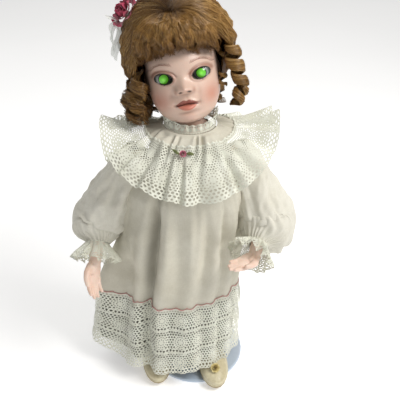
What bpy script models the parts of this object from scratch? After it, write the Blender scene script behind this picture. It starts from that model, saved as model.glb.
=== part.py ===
"""Collectible porcelain doll held by a waist-clasp stand.

Metres, +Z up, the doll faces -Y. The origin is the centre of the stand disc's underside.
"Left" and "right" are the doll's own: its left hand is on +X.
"""

from math import cos, pi, radians, sin

import bmesh
import bpy
from mathutils import Euler, Vector

# Stand
DISC_RADIUS = 0.061
DISC_HEIGHT = 0.005
POST_X = -0.0150
POST_Y = 0.0430
TUBE_OUTER = 0.0045
TUBE_INNER = 0.0036
TUBE_TOP = 0.105
ROD_RADIUS = 0.0024
ROD_TOP = 0.2355
CLASP_RADIUS = 0.0350
CLASP_WIRE = 0.0013
CLASP_Z = 0.232
GAP = 0.0004

# Body: the hips stand over the feet, the neck leans towards +X
HIP_X = -0.018
HIP_Z = 0.196
HIP_HALF = 0.0195
SHOULDER_X = -0.0075
SHOULDER_Y = 0.002
NECK_X = -0.0045
NECK_Y = 0.0005
NECK_Z = 0.342
NECK_BALL = 0.0135
NECK_HOLE = 0.0055

# Head pose at rest
HEAD_BACK = radians(-10)
HEAD_ROLL = radians(-9)
HEAD_YAW = radians(-2)
EYE_SPACING = 0.0187
EYE_HEIGHT = 0.0545
EYE_RADIUS = 0.0078

# Arms: shoulder, elbow, wrist and fingertip of each side
ARMS = {
    "right": ((-0.0630, 0.002, 0.306), (-0.1110, 0.004, 0.221), (-0.1190, -0.034, 0.188), (-0.1245, -0.060, 0.155)),
    "left": ((0.0460, 0.002, 0.306), (0.0790, -0.017, 0.223), (0.0600, -0.058, 0.200), (0.0240, -0.086, 0.203)),
}

# Feet: centre of each shoe across, y of its toe, and its outward turn
FEET = {"right": (-0.0545, -0.0620), "left": (0.0180, -0.0770)}
SHOE_LENGTH = 0.069
SHOE_HALF_WIDTH = 0.0180
SOLE_BOTTOM = 0.0057
SOLE_TOP = 0.0097
UPPER_BOTTOM = 0.0101
UPPER_TOP = 0.0340

# Dress
BAND_CENTRE = (-0.0070, -0.002)
COLLAR_CENTRE = (-0.0060, -0.006)
HEM_Z = 0.030
STITCH_Z = 0.125
TIER_STEP = 0.0325
CLOTH = 0.0012

X, Y, Z = Vector((1, 0, 0)), Vector((0, 1, 0)), Vector((0, 0, 1))


def clear_scene():
    for obj in list(bpy.data.objects):
        bpy.data.objects.remove(obj, do_unlink=True)


def new_collection(name, hidden=False):
    made = bpy.data.collections.new(name)
    bpy.context.scene.collection.children.link(made)
    made.hide_render = hidden
    return made


def material(name, colour, roughness, metallic=0.0):
    made = bpy.data.materials.new(name)
    made.use_nodes = True
    shader = made.node_tree.nodes["Principled BSDF"]
    shader.inputs["Base Color"].default_value = (*colour, 1)
    shader.inputs["Roughness"].default_value = roughness
    shader.inputs["Metallic"].default_value = metallic
    return made


def ring(centre, side, up, half_side, half_up, count, turn=0.0):
    """Points of an ellipse in the plane of two unit vectors."""
    points = []
    for i in range(count):
        angle = 2 * pi * i / count
        a, b = half_side * cos(angle), half_up * sin(angle)
        points.append(
            Vector(centre)
            + side * (a * cos(turn) - b * sin(turn))
            + up * (a * sin(turn) + b * cos(turn))
        )
    return points


def level(z, x, y, half_x, half_y, count=20):
    """A horizontal ellipse."""
    return ring((x, y, z), X, Y, half_x, half_y, count)


def loft(name, rings, look, closed=False, origin=(0, 0, 0), parent=None, cutter=False):
    """One closed body through rings of points. A closed loft returns to its first ring, so it is hollow."""
    mesh = bpy.data.meshes.new(name)
    work = bmesh.new()
    rows = [[work.verts.new(point - Vector(origin)) for point in points] for points in rings]
    pairs = list(zip(rows, rows[1:]))
    if closed:
        pairs.append((rows[-1], rows[0]))
    else:
        work.faces.new(rows[0])
        work.faces.new(rows[-1])
    for low, high in pairs:
        for i in range(len(low)):
            j = (i + 1) % len(low)
            work.faces.new((low[i], low[j], high[j], high[i]))
    bmesh.ops.recalc_face_normals(work, faces=work.faces)
    work.to_mesh(mesh)
    work.free()
    obj = bpy.data.objects.new(name, mesh)
    obj.location = origin
    if parent:
        obj.parent = parent
    if cutter:
        obj.display_type = "WIRE"
        obj.hide_render = True
        cutters.objects.link(obj)
    else:
        mesh.materials.append(look)
        doll.objects.link(obj)
    return obj


def along(path, widths, depths, side, count=12, turns=0.0):
    """Rings square to a path, wide along side and deep across it, twisted by turns over its length."""
    points = [Vector(p) for p in path]
    rings = []
    for i, point in enumerate(points):
        before, after = points[max(i - 1, 0)], points[min(i + 1, len(points) - 1)]
        tangent = (after - before).normalized()
        across = (side - tangent * side.dot(tangent)).normalized()
        up = tangent.cross(across)
        turn = 2 * pi * turns * i / (len(points) - 1)
        rings.append(ring(point, across, up, widths[i], depths[i], count, turn))
    return rings


def between(start, end, share):
    return Vector(start).lerp(Vector(end), share)


def cut(obj, cutter, operation="DIFFERENCE"):
    boolean = obj.modifiers.new(cutter.name, "BOOLEAN")
    boolean.operation = operation
    boolean.solver = "EXACT"
    boolean.object = cutter


def box(name, low, high, parent=None):
    """A box for cutting."""
    (x0, y0, z0), (x1, y1, z1) = low, high
    corners = [[Vector(p) for p in ((x0, y0, z), (x1, y0, z), (x1, y1, z), (x0, y1, z))] for z in (z0, z1)]
    return loft(name, corners, None, parent=parent, cutter=True)


def stand():
    enamel = material("enamel", (0.55, 0.66, 0.78), 0.25)
    steel = material("plated_steel", (0.62, 0.62, 0.64), 0.3, 1.0)
    nylon = material("nylon", (0.85, 0.85, 0.82), 0.5)
    edge = ((0.0, 0.0592), (0.0012, 0.0608), (0.0036, DISC_RADIUS), (0.0046, 0.0602), (DISC_HEIGHT, 0.0590))
    disc = loft("stand_base", [level(z, 0, 0, r, r, 48) for z, r in edge], enamel)
    hole = TUBE_OUTER + GAP
    socket = loft("post_socket", [level(z, POST_X, POST_Y, hole, hole, 16) for z in (0.0012, 0.02)], None, cutter=True)
    cut(disc, socket)

    def post_ring(z, radius):
        return level(z, POST_X, POST_Y, radius, radius, 16)

    tube = [(0.0016, TUBE_OUTER), (TUBE_TOP, TUBE_OUTER), (TUBE_TOP, TUBE_INNER), (0.0016, TUBE_INNER)]
    loft("stand_tube", [post_ring(z, r) for z, r in tube], steel, closed=True)
    flange = TUBE_TOP + GAP
    sleeve, bore = TUBE_INNER - GAP, ROD_RADIUS + GAP
    bushing = [
        (0.090, sleeve),
        (flange, sleeve),
        (flange, TUBE_OUTER + 0.001),
        (flange + 0.003, TUBE_OUTER + 0.001),
        (flange + 0.003, bore),
        (0.090, bore),
    ]
    loft("stand_bushing", [post_ring(z, r) for z, r in bushing], nylon, closed=True, origin=(POST_X, POST_Y, 0))
    loft("stand_rod", [post_ring(z, ROD_RADIUS) for z in (0.030, ROD_TOP)], steel, origin=(POST_X, POST_Y, 0))
    waist_clasp(steel, bore)


def waist_clasp(steel, bore):
    """A sprung wire C round the waist, open in front, on a socket that takes the rod."""
    opening = radians(38)
    steps = 22
    centre = Vector((POST_X, 0, CLASP_Z))
    path = []
    for i in range(steps + 1):
        angle = -pi / 2 + opening + (2 * pi - 2 * opening) * i / steps
        path.append(centre + X * CLASP_RADIUS * cos(angle) + Y * CLASP_RADIUS * sin(angle))
    wire = [CLASP_WIRE] * len(path)
    clasp = loft("waist_clasp", along(path, wire, wire, Z, 8), steel)
    neck = ((POST_X, CLASP_RADIUS - 0.0006, CLASP_Z), (POST_X, POST_Y - 0.002, CLASP_Z))
    lug = loft("clasp_lug", along(neck, [0.0030] * 2, [0.0021] * 2, X, 8), None, cutter=True)
    heights = (CLASP_Z - 0.008, ROD_TOP + 0.003)
    boss = loft("clasp_boss", [level(z, POST_X, POST_Y, 0.0046, 0.0046, 16) for z in heights], None, cutter=True)
    drill = [level(z, POST_X, POST_Y, bore, bore, 12) for z in (CLASP_Z - 0.02, ROD_TOP + GAP)]
    cut(clasp, lug, "UNION")
    cut(clasp, boss, "UNION")
    cut(clasp, loft("clasp_bore", drill, None, cutter=True))


def body():
    cotton = material("muslin", (0.78, 0.70, 0.60), 0.9)
    bisque = material("bisque", (0.80, 0.62, 0.52), 0.45)
    torso = (
        (0.1990, 0.0220, 0.0150),
        (0.2040, 0.0330, 0.0235),
        (0.2150, 0.0350, 0.0265),
        (0.2320, 0.0310, 0.0245),
        (0.2600, 0.0320, 0.0245),
        (0.2900, 0.0345, 0.0250),
        (0.3080, 0.0300, 0.0215),
        (0.3120, 0.0200, 0.0140),
    )
    lean = (SHOULDER_X - HIP_X) / (NECK_Z - HIP_Z)
    loft("torso", [level(z, HIP_X + lean * (z - HIP_Z), 0, a, b) for z, a, b in torso], cotton)

    socket = NECK_BALL + GAP
    plate = (
        (0.3000, 0.0395, 0.0300),
        (0.3160, 0.0405, 0.0300),
        (0.3240, 0.0360, 0.0260),
        (0.3310, 0.0240, 0.0200),
        (0.3400, 0.0172, 0.0172),
        (0.3400, 0.9914 * socket, 0.9914 * socket),
        (0.3360, 0.9020 * socket, 0.9020 * socket),
        (0.3320, 0.7000 * socket, 0.7000 * socket),
        (0.3295, 0.0066, 0.0066),
        (0.3270, 0.0066, 0.0066),
        (0.3265, 0.0190, 0.0165),
        (0.3205, 0.0325, 0.0235),
        (0.3150, 0.0370, 0.0270),
        (0.3000, 0.0368, 0.0274),
    )
    rings = []
    for z, a, b in plate:
        rise = min(1.0, max(0.0, (z - 0.318) / 0.008))
        rings.append(level(z, SHOULDER_X + rise * (NECK_X - SHOULDER_X), SHOULDER_Y + rise * (NECK_Y - SHOULDER_Y), a, b, 18))
    loft("shoulder_plate", rings, bisque, closed=True)
    neck_fitting()
    return bisque


def neck_fitting():
    """The wooden button, hook and spring that hold the head down in its socket."""
    wood = material("beech", (0.62, 0.44, 0.26), 0.6)
    wire = material("spring_wire", (0.45, 0.45, 0.47), 0.35, 1.0)
    pivot = (NECK_X, NECK_Y, NECK_Z)

    def neck_ring(z, radius, count=16):
        return level(z, NECK_X, NECK_Y, radius, radius, count)

    button = ((0.3440, 0.0070), (0.3475, 0.0070), (0.3475, 0.0016), (0.3440, 0.0016))
    loft("neck_button", [neck_ring(z, r) for z, r in button], wood, closed=True, origin=pivot)
    loft("neck_hook", [neck_ring(z, 0.0011, 8) for z in (0.3140, 0.3505)], wire, origin=pivot)
    turns, steps = 3.0, 42
    path = []
    for i in range(steps + 1):
        angle = 2 * pi * turns * i / steps
        height = 0.3150 + (0.3252 - 0.3150) * i / steps
        path.append((NECK_X + 0.0086 * cos(angle), NECK_Y + 0.0086 * sin(angle), height))
    size = [0.0007] * len(path)
    loft("neck_spring", along(path, size, size, Z, 6), wire, origin=pivot)


HEAD_RINGS = (
    (-0.0123, 0.0000, NECK_HOLE, NECK_HOLE),
    (-0.0080, 0.0000, 0.0109, 0.0109),
    (0.0000, 0.0000, NECK_BALL, NECK_BALL),
    (0.0060, 0.0000, 0.0126, 0.0128),
    (0.0085, -0.0055, 0.0160, 0.0190),
    (0.0120, -0.0075, 0.0215, 0.0245),
    (0.0180, -0.0060, 0.0285, 0.0305),
    (0.0280, -0.0010, 0.0345, 0.0375),
    (0.0400, 0.0020, 0.0368, 0.0412),
    (0.0550, 0.0045, 0.0375, 0.0440),
    (0.0700, 0.0060, 0.0370, 0.0440),
    (0.0850, 0.0080, 0.0330, 0.0400),
    (0.0950, 0.0100, 0.0270, 0.0320),
)


def head(bisque, frame):
    wall = 0.0030
    outer = [level(z, 0, y, a, b, 20) for z, y, a, b in HEAD_RINGS]
    inner = [level(z + (0.0024 if z < 0.003 else 0), 0, y, a - wall, b - wall, 20) for z, y, a, b in HEAD_RINGS[1:]]
    inner[-1] = level(0.0945, 0, 0.0100, 0.0240, 0.0290, 20)
    shell = loft("head", outer + inner[::-1] + [level(-0.0085, 0, 0, NECK_HOLE, NECK_HOLE, 20)], bisque, True, parent=frame)
    glass = material("glass_eye", (0.10, 0.60, 0.10), 0.08)
    for side, sign in (("right", -1), ("left", 1)):
        x = sign * EYE_SPACING
        hole = [ring((x, y, EYE_HEIGHT), X, Z, 0.0080, 0.0050, 12) for y in (-0.0600, -0.0180)]
        cut(shell, loft(f"eye_hole_{side}", hole, None, parent=frame, cutter=True))
        ball = []
        for i in range(1, 8):
            angle = pi * i / 8
            radius = EYE_RADIUS * sin(angle)
            centre = (0.93 * x, -0.0180 - EYE_RADIUS * cos(angle), EYE_HEIGHT)
            ball.append(ring(centre, X, Z, radius, radius, 12))
        loft(f"eye_{side}", ball, glass, parent=frame)
    cork = material("pate_board", (0.72, 0.66, 0.55), 0.9)
    dome = ((0.0954, 0.0265), (0.0985, 0.0225), (0.1010, 0.0160), (0.1022, 0.0070))
    loft("pate", [level(z, 0, 0.010, r, 1.15 * r, 16) for z, r in dome], cork, parent=frame)


def hair(frame):
    auburn = material("wig_fibre", (0.22, 0.12, 0.05), 0.55)
    inner = (
        (0.1032, 0.0100, 0.0080, 0.0100),
        (0.1020, 0.0100, 0.0190, 0.0220),
        (0.0965, 0.0100, 0.0290, 0.0340),
        (0.0850, 0.0080, 0.0345, 0.0415),
        (0.0700, 0.0060, 0.0382, 0.0452),
        (0.0550, 0.0045, 0.0387, 0.0452),
        (0.0400, 0.0030, 0.0380, 0.0430),
        (0.0260, 0.0010, 0.0356, 0.0395),
    )
    outer = (
        (0.0240, 0.0100, 0.0470, 0.0470),
        (0.0400, 0.0110, 0.0540, 0.0560),
        (0.0700, 0.0110, 0.0580, 0.0600),
        (0.0950, 0.0110, 0.0550, 0.0580),
        (0.1150, 0.0130, 0.0440, 0.0470),
        (0.1280, 0.0150, 0.0290, 0.0310),
        (0.1350, 0.0160, 0.0110, 0.0120),
    )

    def shell(name):
        return loft(name, [level(z, 0, y, a, b, 24) for z, y, a, b in inner + outer], auburn, parent=frame)

    far = 0.1
    crown = shell("hair_crown")
    cut(crown, box("face_window", (-far, -far, -far), (far, -0.0080, 0.1120), frame))
    bangs = shell("hair_bangs")
    cut(bangs, box("bangs_block", (-0.0335, -far, 0.0800), (0.0335, -0.0086, 0.1114), frame), "INTERSECT")

    def ringlet(name, top, bottom, radius, turns):
        steps = 12
        path = [between(top, bottom, i / steps) for i in range(steps + 1)]
        swell = [radius * (0.55 + 0.45 * sin(pi * min(1, (i + 1.2) / 5) / 2)) for i in range(steps + 1)]
        swell[-1] = 0.45 * radius
        rings = along(path, swell, [0.66 * r for r in swell], X, 10, turns)
        loft(name, rings, auburn, parent=frame)

    ringlet("ringlet_right_front", (-0.0440, -0.0260, 0.0700), (-0.0460, -0.0240, 0.0100), 0.0115, 1.5)
    ringlet("ringlet_right_rear", (-0.0430, 0.0250, 0.0220), (-0.0470, 0.0270, 0.0080), 0.0085, 0.5)
    ringlet("ringlet_left_front", (0.0450, -0.0220, 0.0780), (0.0530, -0.0220, 0.0150), 0.0095, 2.0)
    ringlet("ringlet_left_rear", (0.0400, 0.0250, 0.0220), (0.0440, 0.0270, 0.0030), 0.0090, 1.0)
    ringlet("ringlet_back_right", (-0.0200, 0.0420, 0.0220), (-0.0220, 0.0450, 0.0050), 0.0095, 0.5)
    ringlet("ringlet_back_left", (0.0190, 0.0420, 0.0220), (0.0210, 0.0450, 0.0000), 0.0095, 0.8)

    silk = material("silk_rose", (0.55, 0.05, 0.14), 0.6)
    ribbon = material("sheer_ribbon", (0.85, 0.87, 0.86), 0.5)
    bloom = ((0.0, 0.0070), (0.0035, 0.0135), (0.0085, 0.0140), (0.0125, 0.0080))
    centre, out = Vector((-0.0500, 0.0060, 0.1120)), Vector((-0.75, -0.10, 0.65)).normalized()
    across = out.cross(Y).normalized()
    petals = [ring(centre + out * d, across, out.cross(across), r, r, 12) for d, r in bloom]
    loft("hair_rose", petals, silk, parent=frame)
    path = [(-0.0600, 0.0120, 0.1040), (-0.0640, 0.0140, 0.0900), (-0.0660, 0.0130, 0.0740), (-0.0660, 0.0110, 0.0620)]
    rings = along(path, [0.0040, 0.0130, 0.0150, 0.0060], [0.0012] * 4, Y, 10)
    loft("hair_bow", rings, ribbon, parent=frame)


def skirt_section(z):
    """Centre x, centre y and half widths of the dress at a height."""
    table = (
        (0.026, -0.0280, 0.0040, 0.0840, 0.0660),
        (0.125, -0.0230, 0.0060, 0.0770, 0.0600),
        (0.200, -0.0175, 0.0020, 0.0640, 0.0570),
        (0.250, -0.0125, -0.0030, 0.0530, 0.0530),
        (0.270, -0.0125, -0.0050, 0.0470, 0.0500),
        (0.290, -0.0100, -0.0030, 0.0415, 0.0420),
        (0.310, -0.0085, 0.0000, 0.0430, 0.0350),
        (0.320, -0.0080, 0.0010, 0.0428, 0.0330),
        (0.328, -0.0078, 0.0015, 0.0370, 0.0285),
        (0.335, -0.0075, 0.0020, 0.0260, 0.0235),
    )
    for low, high in zip(table, table[1:]):
        if z <= high[0]:
            share = (z - low[0]) / (high[0] - low[0])
            return [a + (b - a) * share for a, b in zip(low[1:], high[1:])]
    return table[-1][1:]


def cloth_shell(name, heights, look, offset, count=28, thickness=CLOTH):
    """A hollow band of cloth that follows the dress, offset outwards."""

    def wall(z, extra):
        x, y, half_x, half_y = skirt_section(z)
        return level(z, x, y, half_x + extra, half_y + extra, count)

    outer = [wall(z, offset) for z in heights]
    inner = [wall(z, offset - thickness) for z in reversed(heights)]
    return loft(name, outer + inner, look, closed=True)


def dress(cream, lace, pink):
    gown = cloth_shell("dress", (HEM_Z, 0.125, 0.200, 0.250, 0.270, 0.290, 0.310, 0.320, 0.328, 0.335), cream, 0.0)
    for side, sign in (("right", -1), ("left", 1)):
        shoulder = Vector(ARMS[side][0])
        hole = [ring(shoulder + X * sign * d, Y, Z, 0.0175, 0.0200, 16) for d in (-0.030, 0.030)]
        cut(gown, loft(f"armhole_{side}", hole, None, cutter=True))
    for i in range(3):
        top = STITCH_Z - TIER_STEP * i
        cloth_shell(f"lace_tier_{i + 1}", (top - TIER_STEP + 0.0008, top), lace, 0.0024 + 0.0004 * i)
    cloth_shell("petticoat", (0.052, 0.125, 0.185), cream, -0.0045, 24)

    x, y = BAND_CENTRE
    band = ((0.3420, 0.0265), (0.3505, 0.0282), (0.3505, 0.0270), (0.3420, 0.0253))
    loft("neckband", [level(z, x, y, r, r, 24) for z, r in band], lace, closed=True)
    collar(lace)

    silk = material("ribbon_rosette", pink, 0.6)
    leaf = material("ribbon_leaf", (0.13, 0.25, 0.10), 0.6)
    centre, out = Vector((-0.0178, -0.0504, 0.3324)), Vector((0, -0.70, 0.714))
    up = X.cross(out)
    bloom = [ring(centre + out * d, X, up, r, r, 10) for d, r in ((0, 0.0028), (0.0016, 0.0050), (0.0036, 0.0030))]
    loft("collar_rosette", bloom, silk)
    for side, sign in (("right", -1), ("left", 1)):
        stem = centre + X * sign * 0.0056
        path = [stem, stem + X * sign * 0.0040 - up * 0.0012, stem + X * sign * 0.0085 - up * 0.0034]
        rings = along(path, [0.0010, 0.0026, 0.0005], [0.0006] * 3, out.cross(X), 8)
        loft(f"collar_leaf_{side}", rings, leaf)

    pearl = material("pearl_button", (0.90, 0.86, 0.78), 0.2)
    for i, z in enumerate((0.262, 0.232, 0.202)):
        x, y, _, half_y = skirt_section(z)
        back = Vector((x, y + half_y + 0.0022, z))
        dome = [ring(back + Y * d, X, Z, r, r, 12) for d, r in ((0, 0.0036), (0.0012, 0.0040), (0.0022, 0.0024))]
        loft(f"back_button_{i + 1}", dome, pearl)


def collar(lace):
    """The wide lace bertha: steep in front, nearly level over the shoulders."""
    count = 32
    x, y = COLLAR_CENTRE

    def edge(share, drop):
        points = []
        for i in range(count):
            angle = 2 * pi * i / count
            front = max(0.0, -sin(angle)) ** 1.6
            back = max(0.0, sin(angle)) ** 1.6
            reach = 0.0960 - 0.0260 * front - 0.0280 * back
            fall = 0.0140 + 0.0430 * front + 0.0220 * back
            radius = 0.0300 + (reach - 0.0300) * share
            height = 0.3415 - fall * share ** (1.0 + 0.5 * front) - drop
            points.append(Vector((x + radius * cos(angle), y + radius * sin(angle), height)))
        return points

    shares = (0.0, 0.35, 0.7, 1.0)
    top = [edge(s, 0.0) for s in shares]
    under = [edge(s, 0.0014) for s in reversed(shares)]
    loft("lace_collar", top + under, lace, closed=True)


def arm(side, bisque, cotton, cream, lace):
    shoulder, elbow, wrist, tip = (Vector(p) for p in ARMS[side])
    sign = 1 if side == "left" else -1
    upper = (elbow - shoulder).normalized()
    lower = (wrist - elbow).normalized()
    path = [shoulder - upper * 0.004, shoulder + upper * 0.004, between(shoulder, elbow, 0.5), elbow - upper * 0.0075]
    loft(f"upper_arm_{side}", along(path, [0.0070, 0.0115, 0.0115, 0.0100], [0.0070, 0.0115, 0.0115, 0.0100], Y), cotton, origin=shoulder)

    hand = (tip - wrist).normalized()
    palm = Vector((1, 0, 0)) if side == "right" else Vector((0.55, -0.60, 0.20)).normalized()
    path = [
        elbow + lower * 0.0065,
        elbow + lower * 0.0120,
        between(elbow, wrist, 0.6),
        wrist,
        wrist + hand * 0.010,
        wrist + hand * 0.020,
        tip - hand * 0.010,
        tip,
    ]
    wide = [0.0070, 0.0090, 0.0088, 0.0075, 0.0095, 0.0110, 0.0095, 0.0050]
    deep = [0.0070, 0.0090, 0.0086, 0.0066, 0.0062, 0.0058, 0.0048, 0.0030]
    loft(f"forearm_{side}", along(path, wide, deep, palm), bisque, origin=elbow)

    def tube(name, stations, outer, look, thickness, pivot):
        inner = [r - thickness for r in outer]
        rings = along(stations, outer, outer, Y, 20) + along(stations, inner, inner, Y, 20)[::-1]
        loft(name, rings, look, closed=True, origin=pivot)

    puff = 0.0300 if side == "left" else 0.0270
    stations = [
        shoulder + upper * 0.001,
        shoulder + upper * 0.012,
        shoulder + upper * 0.035,
        shoulder + upper * 0.062,
        elbow + X * sign * 0.003,
        elbow + lower * 0.022 + X * sign * 0.002,
        elbow + lower * 0.030,
    ]
    sizes = [0.0135, 0.0150, 0.0195, 0.0240, puff, 0.92 * puff, 0.0170]
    tube(f"sleeve_{side}", stations, sizes, cream, CLOTH, shoulder)
    stations = [elbow + lower * 0.0365, elbow + lower * 0.044, wrist + hand * 0.010]
    tube(f"cuff_{side}", stations, [0.0140, 0.0115, 0.0250], lace, 0.0014, elbow)


def leg(side, bisque, cotton, cream):
    foot_x, toe_y = FEET[side]
    sign = 1 if side == "left" else -1
    hip = Vector((HIP_X + sign * HIP_HALF, 0, HIP_Z))
    ankle = Vector((foot_x, toe_y + SHOE_LENGTH - 0.0180, UPPER_TOP))
    knee = between(hip, ankle, 0.42)
    path = [between(hip, knee, s) for s in (0.06, 0.2, 0.6, 0.93)]
    loft(f"thigh_{side}", along(path, [0.0120, 0.0165, 0.0165, 0.0140], [0.0120, 0.0165, 0.0165, 0.0140], X), cotton, origin=hip)
    path = [between(knee, ankle, s) for s in (0.0, 0.06, 0.35, 0.8, 1.0)] + [ankle - Z * 0.0170]
    sizes = [0.0110, 0.0130, 0.0135, 0.0095, 0.0088, 0.0088]
    loft(f"lower_leg_{side}", along(path, sizes, sizes, X), bisque, origin=hip)
    path = [between(hip, knee, 0.35), knee, between(knee, ankle, 0.45)]
    outer, inner = [0.0190, 0.0190, 0.0195], [0.0178, 0.0178, 0.0183]
    rings = along(path, outer, outer, X, 16) + along(path, inner, inner, X, 16)[::-1]
    loft(f"pantaloon_{side}", rings, cream, closed=True, origin=hip)
    shoe(side, hip, ankle)


def shoe(side, hip, ankle):
    leather = material(f"shoe_leatherette_{side}", (0.72, 0.66, 0.50), 0.45)
    rubber = material(f"shoe_sole_{side}", (0.55, 0.48, 0.36), 0.7)
    silk = material(f"shoe_rosette_{side}", (0.80, 0.72, 0.42), 0.6)
    foot_x, toe_y = FEET[side]
    middle = toe_y + SHOE_LENGTH / 2
    half = SHOE_LENGTH / 2

    def outline(z, narrow, short, back=0.0):
        return level(z, foot_x, middle + back, SHOE_HALF_WIDTH - narrow, half - short, 20)

    sole = [outline(SOLE_BOTTOM, 0.0012, 0.0012), outline(SOLE_BOTTOM + 0.001, 0, 0), outline(SOLE_TOP, 0, 0)]
    loft(f"shoe_sole_{side}", sole, rubber, origin=hip)
    throat = ankle.y - middle
    upper = [
        outline(UPPER_BOTTOM, 0.0008, 0.0008),
        outline(0.0140, 0.0004, 0.0006),
        outline(0.0200, 0.0022, 0.0030, 0.0008),
        outline(0.0250, 0.0046, 0.0090, 0.0062),
        outline(0.0290, 0.0062, 0.0165, 0.0120),
        outline(UPPER_TOP, 0.0064, 0.0212, throat),
        outline(UPPER_TOP, 0.0078, 0.0226, throat),
        outline(0.0165, 0.0084, 0.0242, throat),
    ]
    loft(f"shoe_upper_{side}", upper, leather, origin=hip)
    front = Vector((foot_x, toe_y + 0.0150, 0.0262))
    out = Vector((0, -0.5, 0.866))
    bloom = [ring(front + out * d, X, X.cross(out), r, r, 10) for d, r in ((0, 0.0030), (0.0016, 0.0052), (0.0036, 0.0034))]
    loft(f"shoe_rosette_{side}", bloom, silk, origin=hip)


clear_scene()
doll = new_collection("porcelain_doll")
cutters = new_collection("cutters", hidden=True)
stand()
bisque = body()
head_frame = bpy.data.objects.new("head_frame", None)
head_frame.location = (NECK_X, NECK_Y, NECK_Z)
head_frame.rotation_euler = Euler((HEAD_BACK, HEAD_ROLL, HEAD_YAW), "XYZ")
doll.objects.link(head_frame)
head(bisque, head_frame)
hair(head_frame)
batiste = material("batiste", (0.78, 0.76, 0.70), 0.85)
cotton_lace = material("cotton_lace", (0.84, 0.82, 0.74), 0.85)
stuffing_cloth = material("limb_muslin", (0.78, 0.70, 0.60), 0.9)
dress(batiste, cotton_lace, (0.70, 0.22, 0.30))
for name in ("right", "left"):
    arm(name, bisque, stuffing_cloth, batiste, cotton_lace)
    leg(name, bisque, stuffing_cloth, batiste)
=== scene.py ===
"""Looks of the porcelain doll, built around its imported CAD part. Doll's own left and right."""

from math import cos, pi, radians, sin

import bpy
import numpy as np
from mathutils import Euler, Matrix, Vector


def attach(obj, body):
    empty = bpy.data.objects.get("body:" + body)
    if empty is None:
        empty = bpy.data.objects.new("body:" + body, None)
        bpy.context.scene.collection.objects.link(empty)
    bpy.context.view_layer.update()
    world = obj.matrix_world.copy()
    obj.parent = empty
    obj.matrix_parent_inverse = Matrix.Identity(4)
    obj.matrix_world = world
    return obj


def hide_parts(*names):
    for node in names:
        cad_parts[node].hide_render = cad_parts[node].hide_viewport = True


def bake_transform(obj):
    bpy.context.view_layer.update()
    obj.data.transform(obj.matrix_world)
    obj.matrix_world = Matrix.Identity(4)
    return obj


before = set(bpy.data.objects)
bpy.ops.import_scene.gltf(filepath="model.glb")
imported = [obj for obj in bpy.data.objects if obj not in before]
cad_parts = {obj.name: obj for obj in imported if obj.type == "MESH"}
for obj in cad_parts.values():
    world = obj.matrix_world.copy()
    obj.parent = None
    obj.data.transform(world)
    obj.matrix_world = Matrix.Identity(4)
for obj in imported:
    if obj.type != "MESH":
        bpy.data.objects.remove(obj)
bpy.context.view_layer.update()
RNG = np.random.default_rng(7)
MM = 0.001

NECK = (-0.0045, 0.0005, 0.342)
HEAD = (
    Matrix.Translation(NECK)
    @ Euler((radians(-10), radians(-9), radians(-2)), "XYZ").to_matrix().to_4x4()
)
HEAD_M = np.array(HEAD)


# ---------------------------------------------------------------- small tools

def to_world(points):
    """Head-frame points, in metres, to the row frame."""
    return points @ HEAD_M[:3, :3].T + HEAD_M[:3, 3]


def smoothstep(x, low, high):
    t = np.clip((x - low) / (high - low), 0, 1)
    return t * t * (3 - 2 * t)


def bell(x, centre, width):
    return np.exp(-0.5 * ((x - centre) / width) ** 2)


def unit(v):
    """Vectors scaled to length one."""
    return v / np.linalg.norm(v, axis=-1, keepdims=True)


def full_turn(count):
    """Angles evenly spaced round a circle."""
    return np.linspace(0, 2 * pi, count, endpoint=False)


def round_grid(columns, low, high, rows):
    """Angles round a circle, and a second value from low to high, row by row."""
    turn, value = np.meshgrid(full_turn(columns), np.linspace(low, high, rows))
    return turn.ravel(), value.ravel()


def patch_grid(across, along):
    """Shares across a patch, -1 to 1, and along it, 0 to 1, row by row."""
    s, t = np.meshgrid(np.linspace(-1, 1, across), np.linspace(0, 1, along))
    return s.ravel(), t.ravel()


def apart(degrees, angle):
    """Degrees from an angle, the short way round."""
    return (degrees - angle + 180) % 360 - 180


def waves(points, scale, seed, octaves=3):
    """Smooth deterministic noise, about -1 to 1, from sums of sines in random directions."""
    rng = np.random.default_rng(seed)
    total = np.zeros(len(points))
    size = 1.0
    for _ in range(octaves):
        for _ in range(5):
            direction = rng.normal(size=points.shape[1])
            direction *= (0.6 + 0.8 * rng.random()) / (np.linalg.norm(direction) * scale)
            total += size * np.sin(points @ direction * 2 * pi + rng.random() * 6.283)
        scale *= 0.5
        size *= 0.5
    return total / 3.2


def table(x, xs, ys, smooth=0.0):
    """Interpolates a short table, rounded off over a distance."""
    if not smooth:
        return np.interp(x, xs, ys)
    shifts = np.linspace(-1.5, 1.5, 13) * smooth
    weights = np.exp(-0.5 * (shifts / smooth * 1.6) ** 2)
    return sum(w * np.interp(x + s, xs, ys) for w, s in zip(weights, shifts)) / weights.sum()


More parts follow.
